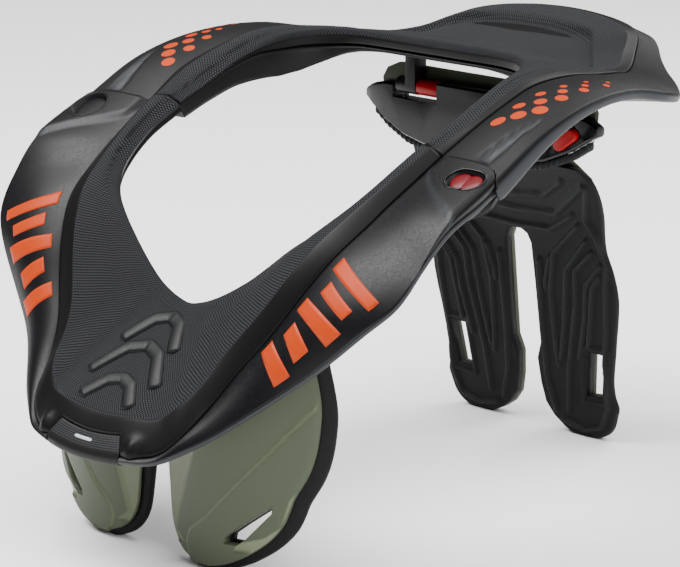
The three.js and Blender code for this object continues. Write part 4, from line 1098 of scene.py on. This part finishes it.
def bandTonesAndHighlights(material, shader, base, light):  # lip or rim lighter than the band, and lighter where the relief asks: a painted highlight on the front lip and pod wall, a paler rim and wedge recess on the rear shell
    zone = addNode(material, "ShaderNodeAttribute", {"attribute_name": "zone"}).outputs["Fac"]
    highlightAndTone = addNode(material, "ShaderNodeAttribute", {"attribute_name": "highlightAndTone"}).outputs["Fac"]
    # painted highlight on the front shell's lip; the paler rim on the rear shell
    lip = addNode(material, "ShaderNodeMapRange", i0=zone, i1=2.5, i2=2.9, i3=0.0, i4=1.0)
    both = addNode(material, "ShaderNodeMath", {"operation": "MAXIMUM"}, i0=lip.outputs["Result"], i1=highlightAndTone)
    blend = addNode(material, "ShaderNodeMix", {"data_type": "RGBA"}, i0=both.outputs["Value"],
                    i6=linear(base), i7=linear(light))
    plug(material, blend.outputs[2], shader, "Base Color")


def shellLook(material, shader):
    speckled(material, shader, 900.0, 0.3, 0.46, 0.08)
    # 2a2b2e is the painted highlight on the lip and the pod wall
    bandTonesAndHighlights(material, shader, "0b0b0d", "2a2b2e")


def rearShellLook(material, shader):
    speckled(material, shader, 1400.0, 0.34, 0.56, 0.3)
    bandTonesAndHighlights(material, shader, "0d0d0e", "2e3033")


def knitLook(material, shader):  # diamond ribs, drawn at 1.3 mm where the real ones are about 0.75 mm, their crests painted lighter as a highlight
    grain = addNode(material, "ShaderNodeAttribute", {"attribute_name": "grain"}).outputs["Vector"]
    zone = addNode(material, "ShaderNodeAttribute", {"attribute_name": "zone"}).outputs["Fac"]
    waves = []
    for angle in (0.62, -0.62):
        turned = addNode(material, "ShaderNodeVectorRotate", {"rotation_type": "Z_AXIS"}, Vector=grain,
                         Angle=angle)
        wave = addNode(material, "ShaderNodeTexWave", {"wave_type": "BANDS", "bands_direction": "X"},
                       Vector=turned.outputs["Vector"], Scale=240.0, Distortion=0.4, Detail=1.0)
        waves.append(wave.outputs["Fac"])
    cross = addNode(material, "ShaderNodeMath", {"operation": "MULTIPLY"}, i0=waves[0], i1=waves[1])
    cloth = addNode(material, "ShaderNodeMapRange", i0=zone, i1=0.55, i2=0.8, i3=0.0, i4=1.0)
    paintedRibHighlight = addNode(material, "ShaderNodeMapRange", i0=cross.outputs["Value"], i1=0.0, i2=0.8, i3=0.0, i4=1.0)
    # 3b3c40 is the painted highlight on the rib crests
    knitWithPaintedHighlight = addNode(material, "ShaderNodeMix", {"data_type": "RGBA"}, i0=paintedRibHighlight.outputs["Result"],
                   i6=linear("080809"), i7=linear("3b3c40"))
    colour = addNode(material, "ShaderNodeMix", {"data_type": "RGBA"}, i0=cloth.outputs["Result"],
                     i6=linear("0c0c0d"), i7=knitWithPaintedHighlight.outputs[2])
    plug(material, colour.outputs[2], shader, "Base Color")
    rough = addNode(material, "ShaderNodeMapRange", i0=cloth.outputs["Result"], i1=0.0, i2=1.0, i3=0.4, i4=0.8)
    plug(material, rough.outputs["Result"], shader, "Roughness")
    depth = addNode(material, "ShaderNodeMath", {"operation": "MULTIPLY"}, i0=cross.outputs["Value"],
                    i1=cloth.outputs["Result"])
    height = addNode(material, "ShaderNodeBump", Strength=0.7, Distance=0.0004, Height=depth.outputs["Value"])
    plug(material, height.outputs["Normal"], shader, "Normal")


def ribbedLook(material, shader):  # fine cross ribs on the rubber tab, drawn at 1 mm, painted lighter where they rise as a highlight
    grain = addNode(material, "ShaderNodeAttribute", {"attribute_name": "grain"}).outputs["Vector"]
    zone = addNode(material, "ShaderNodeAttribute", {"attribute_name": "zone"}).outputs["Fac"]
    waves = [addNode(material, "ShaderNodeTexWave", {"wave_type": "BANDS", "bands_direction": axis},
                     Vector=grain, Scale=310.0).outputs["Fac"] for axis in ("X", "Y")]
    cross = addNode(material, "ShaderNodeMath", {"operation": "MULTIPLY"}, i0=waves[0], i1=waves[1])
    top = addNode(material, "ShaderNodeMapRange", i0=zone, i1=0.6, i2=0.9, i3=0.0, i4=1.0)
    depth = addNode(material, "ShaderNodeMath", {"operation": "MULTIPLY"}, i0=cross.outputs["Value"],
                    i1=top.outputs["Result"])
    # 3a3b3d is the painted highlight on the raised waffle
    paintedRibHighlight = addNode(material, "ShaderNodeMix", {"data_type": "RGBA"}, i0=depth.outputs["Value"],
                    i6=linear("0c0c0d"), i7=linear("3a3b3d"))
    plug(material, paintedRibHighlight.outputs[2], shader, "Base Color")
    height = addNode(material, "ShaderNodeBump", Strength=0.6, Distance=0.0003, Height=depth.outputs["Value"])
    plug(material, height.outputs["Normal"], shader, "Normal")


def paintedHighlightColours(material, shader, base, light):  # painted highlight: lighter where the relief asks, on the plate's crease and bevels and along the foam's ribs
    highlightAndTone = addNode(material, "ShaderNodeAttribute", {"attribute_name": "highlightAndTone"}).outputs["Fac"]
    blend = addNode(material, "ShaderNodeMix", {"data_type": "RGBA"}, i0=highlightAndTone, i6=linear(base),
                    i7=linear(light))
    plug(material, blend.outputs[2], shader, "Base Color")


def plateLook(material, shader):
    speckled(material, shader, 1100.0, 0.36, 0.5, 0.12)
    # 6c735c is the painted highlight on the crease and the bevels
    paintedHighlightColours(material, shader, "454b3b", "6c735c")


def foamLook(material, shader):
    speckled(material, shader, 1600.0, 0.5, 0.72, 0.35)
    # 18191b is the painted highlight on the ribs
    paintedHighlightColours(material, shader, "0a0a0b", "18191b")


def grained(*grain):  # a plain finish whose only look is its grain
    return lambda material, shader: speckled(material, shader, *grain)


looks = {
    # spark-textured mould: a soft even sheen on the bands, with the lip and the pod wall painted a shade
    # lighter as a highlight
    "shell": surface("satin moulded nylon", "0d0d0f", 0.38, shellLook),
    # coarser mould texture: a duller, finely pitted black that greys along the thick rim
    "rearShell": surface("textured moulded nylon", "101113", 0.45, rearShellLook),
    # knitted cloth bonded to foam: small crossed ribs that stay matt, their crests painted lighter as a
    # highlight, and a smoother skin on the bevel
    "pad": surface("ribbed cloth over foam", "2a2b2d", 0.75, knitLook, Specular_IOR_Level=0.12),
    # rubber from a knurled mould: a fine waffle on top, its raised crossings painted lighter as a highlight,
    # plain on the rolled lip
    "tab": surface("ribbed moulded rubber", "0c0c0d", 0.5, ribbedLook),
    # sprayed over a smooth moulding: an even olive, paler where a bevel or crease catches the light
    "plate": surface("painted olive moulding", "454b3b", 0.42, plateLook),
    # hot-pressed foam: a dull skin, with the ribs painted a little lighter than the floor between them as a
    # highlight
    "foam": surface("moulded black foam", "0a0a0b", 0.6, foamLook),
    # polished mould: clear but slightly broken reflections
    "glossBlack": surface("polished black moulding", "050506", 0.22, grained(300.0, 0.18, 0.28, 0.03),
                          Coat_Weight=0.08, Specular_IOR_Level=0.2),
    # plain mould: a quiet satin black
    "satinBlack": surface("black moulded plastic", "0c0c0e", 0.35, grained(900.0, 0.3, 0.45, 0.1)),
    # dusty rubber: no highlight to speak of
    "rubber": surface("grey-black rubber", "17181a", 0.6, grained(1300.0, 0.5, 0.7, 0.3)),
    # polished plastic coloured through: a deep red with a small bright highlight
    "redGloss": surface("glossy red plastic", "5c0008", 0.26, grained(300.0, 0.22, 0.32, 0.02),
                        Specular_IOR_Level=0.16),
    # the same plastic from a duller mould: a clearer red with a broad highlight
    "redSatin": surface("satin red plastic", "8c0409", 0.3, grained(600.0, 0.26, 0.38, 0.05)),
    # ink laid by a soft pad: flat and even, a little rough
    "print": surface("orange pad print", "a83403", 0.4, grained(900.0, 0.35, 0.5, 0.05)),
    "palePrint": surface("pale pad print", "b9bbbd", 0.45, grained(900.0, 0.4, 0.5, 0.05)),
    # rubber from a smooth mould: soft highlights along raised edges
    "darkPlain": surface("smooth dark rubber", "121314", 0.42, grained(900.0, 0.38, 0.5, 0.1)),
}
dressed = [
    (frontShell, "shell", "shell_black"), (rearShell, "rearShell", "shell_black"),
    (frontPad, "pad", "pad_foam"), (rearPad, "pad", "pad_foam"), (panel, "darkPlain", "pad_foam"),
    (frontTab, "tab", "black_rubber"), (skirt, "rubber", "black_rubber"), (backPad, "foam", "black_foam"),
    (armDots, "print", None), (frontBars[0], "print", None), (frontBars[1], "print", None),
    (tabLine, "palePrint", None), (buttonRing, "glossBlack", "shell_black"),
    (capRing, "satinBlack", "shell_black"),
    (hingeCap, "satinBlack", "shell_black"), (buttonDomes, "redGloss", "red_gloss"),
    (hard["release_button"], "redGloss", "red_gloss"), (hard["yoke_button"], "redSatin", "red_satin"),
    (hard["pivot_sleeve_left"], "redSatin", "red_satin"), (hard["pivot_sleeve_right"], "redSatin", "red_satin"),
    (hard["back_plate"], "plate", "olive_shell"), (hard["back_yoke"], "glossBlack", "gloss_black"),
    (hard["pivot_bar"], "satinBlack", "shell_black"),
]
for thing in chestPieces:
    dressed.append((thing, "plate", "olive_shell") if "plate" in thing.name else (thing, "foam", "black_foam"))
for thing, look, slot in dressed:
    thing.data.materials.clear()
    thing.data.materials.append(looks[look])
    for polygon in thing.data.polygons:
        polygon.material_index = 0
print("materials")

# Floor, light and camera
floor = bpy.data.objects.new("floor", bpy.data.meshes.new("floor"))
half = 12  # past the frame even from a low angle
corners = [(-half, -half, 0), (half, -half, 0), (half, half, 0), (-half, half, 0)]
floor.data.from_pydata(corners, [], [(0, 1, 2, 3)])
bpy.context.scene.collection.objects.link(floor)
floor.data.materials.append(surface("pale studio paper", "fbfbfb", 0.9,
                                    grained(60.0, 0.85, 0.95, 0.01)))  # matt, so no piece mirrors in it

world = bpy.data.worlds.new("studio")
bpy.context.scene.world = world
world.use_nodes = True
worldNodes = world.node_tree.nodes
direction = worldNodes.new("ShaderNodeTexCoord")
height = worldNodes.new("ShaderNodeSeparateXYZ")
glow = worldNodes.new("ShaderNodeMapRange")  # bright overhead, dim near the horizon, so black parts stay black
glow.interpolation_type = "SMOOTHSTEP"
for socket, value in zip(("From Min", "From Max", "To Min", "To Max"), (0.5, 0.97, 0.12, 2.4)):
    glow.inputs[socket].default_value = value
world.node_tree.links.new(direction.outputs["Generated"], height.inputs["Vector"])
world.node_tree.links.new(height.outputs["Z"], glow.inputs["Value"])
world.node_tree.links.new(glow.outputs["Result"], worldNodes["Background"].inputs["Strength"])
worldNodes["Background"].inputs["Color"].default_value = (1, 1, 1, 1)

softboxes = {
    "key": {"place": (-0.6, -0.5, 1.5), "size": 1.1, "watts": 48},
    "fill": {"place": (1.3, -0.4, 0.9), "size": 1.2, "watts": 20},
    "rim": {"place": (0.1, 1.3, 1.1), "size": 1.0, "watts": 14},
}
for name, box in softboxes.items():
    light = bpy.data.objects.new(name, bpy.data.lights.new(name, "AREA"))
    light.data.size = box["size"]
    light.data.energy = box["watts"]
    light.location = box["place"]
    light.rotation_euler = (Vector(box["place"]) - Vector((0, 0, 0.12))).to_track_quat("Z", "Y").to_euler()
    bpy.context.scene.collection.objects.link(light)

view = {"target": (0, -3.47, 108.45), "backward": (0.669, -0.698, 0.2545), "distance": 1.4149, "lens": 148.2}
backward = Vector(view["backward"]).normalized()
camera = bpy.data.objects.new("camera", bpy.data.cameras.new("camera"))
bpy.context.scene.collection.objects.link(camera)
camera.location = Vector(view["target"]) * mm + backward * view["distance"]
camera.rotation_euler = backward.to_track_quat("Z", "Y").to_euler()
camera.data.lens = view["lens"]
camera.data.sensor_width = 36
bpy.context.scene.camera = camera
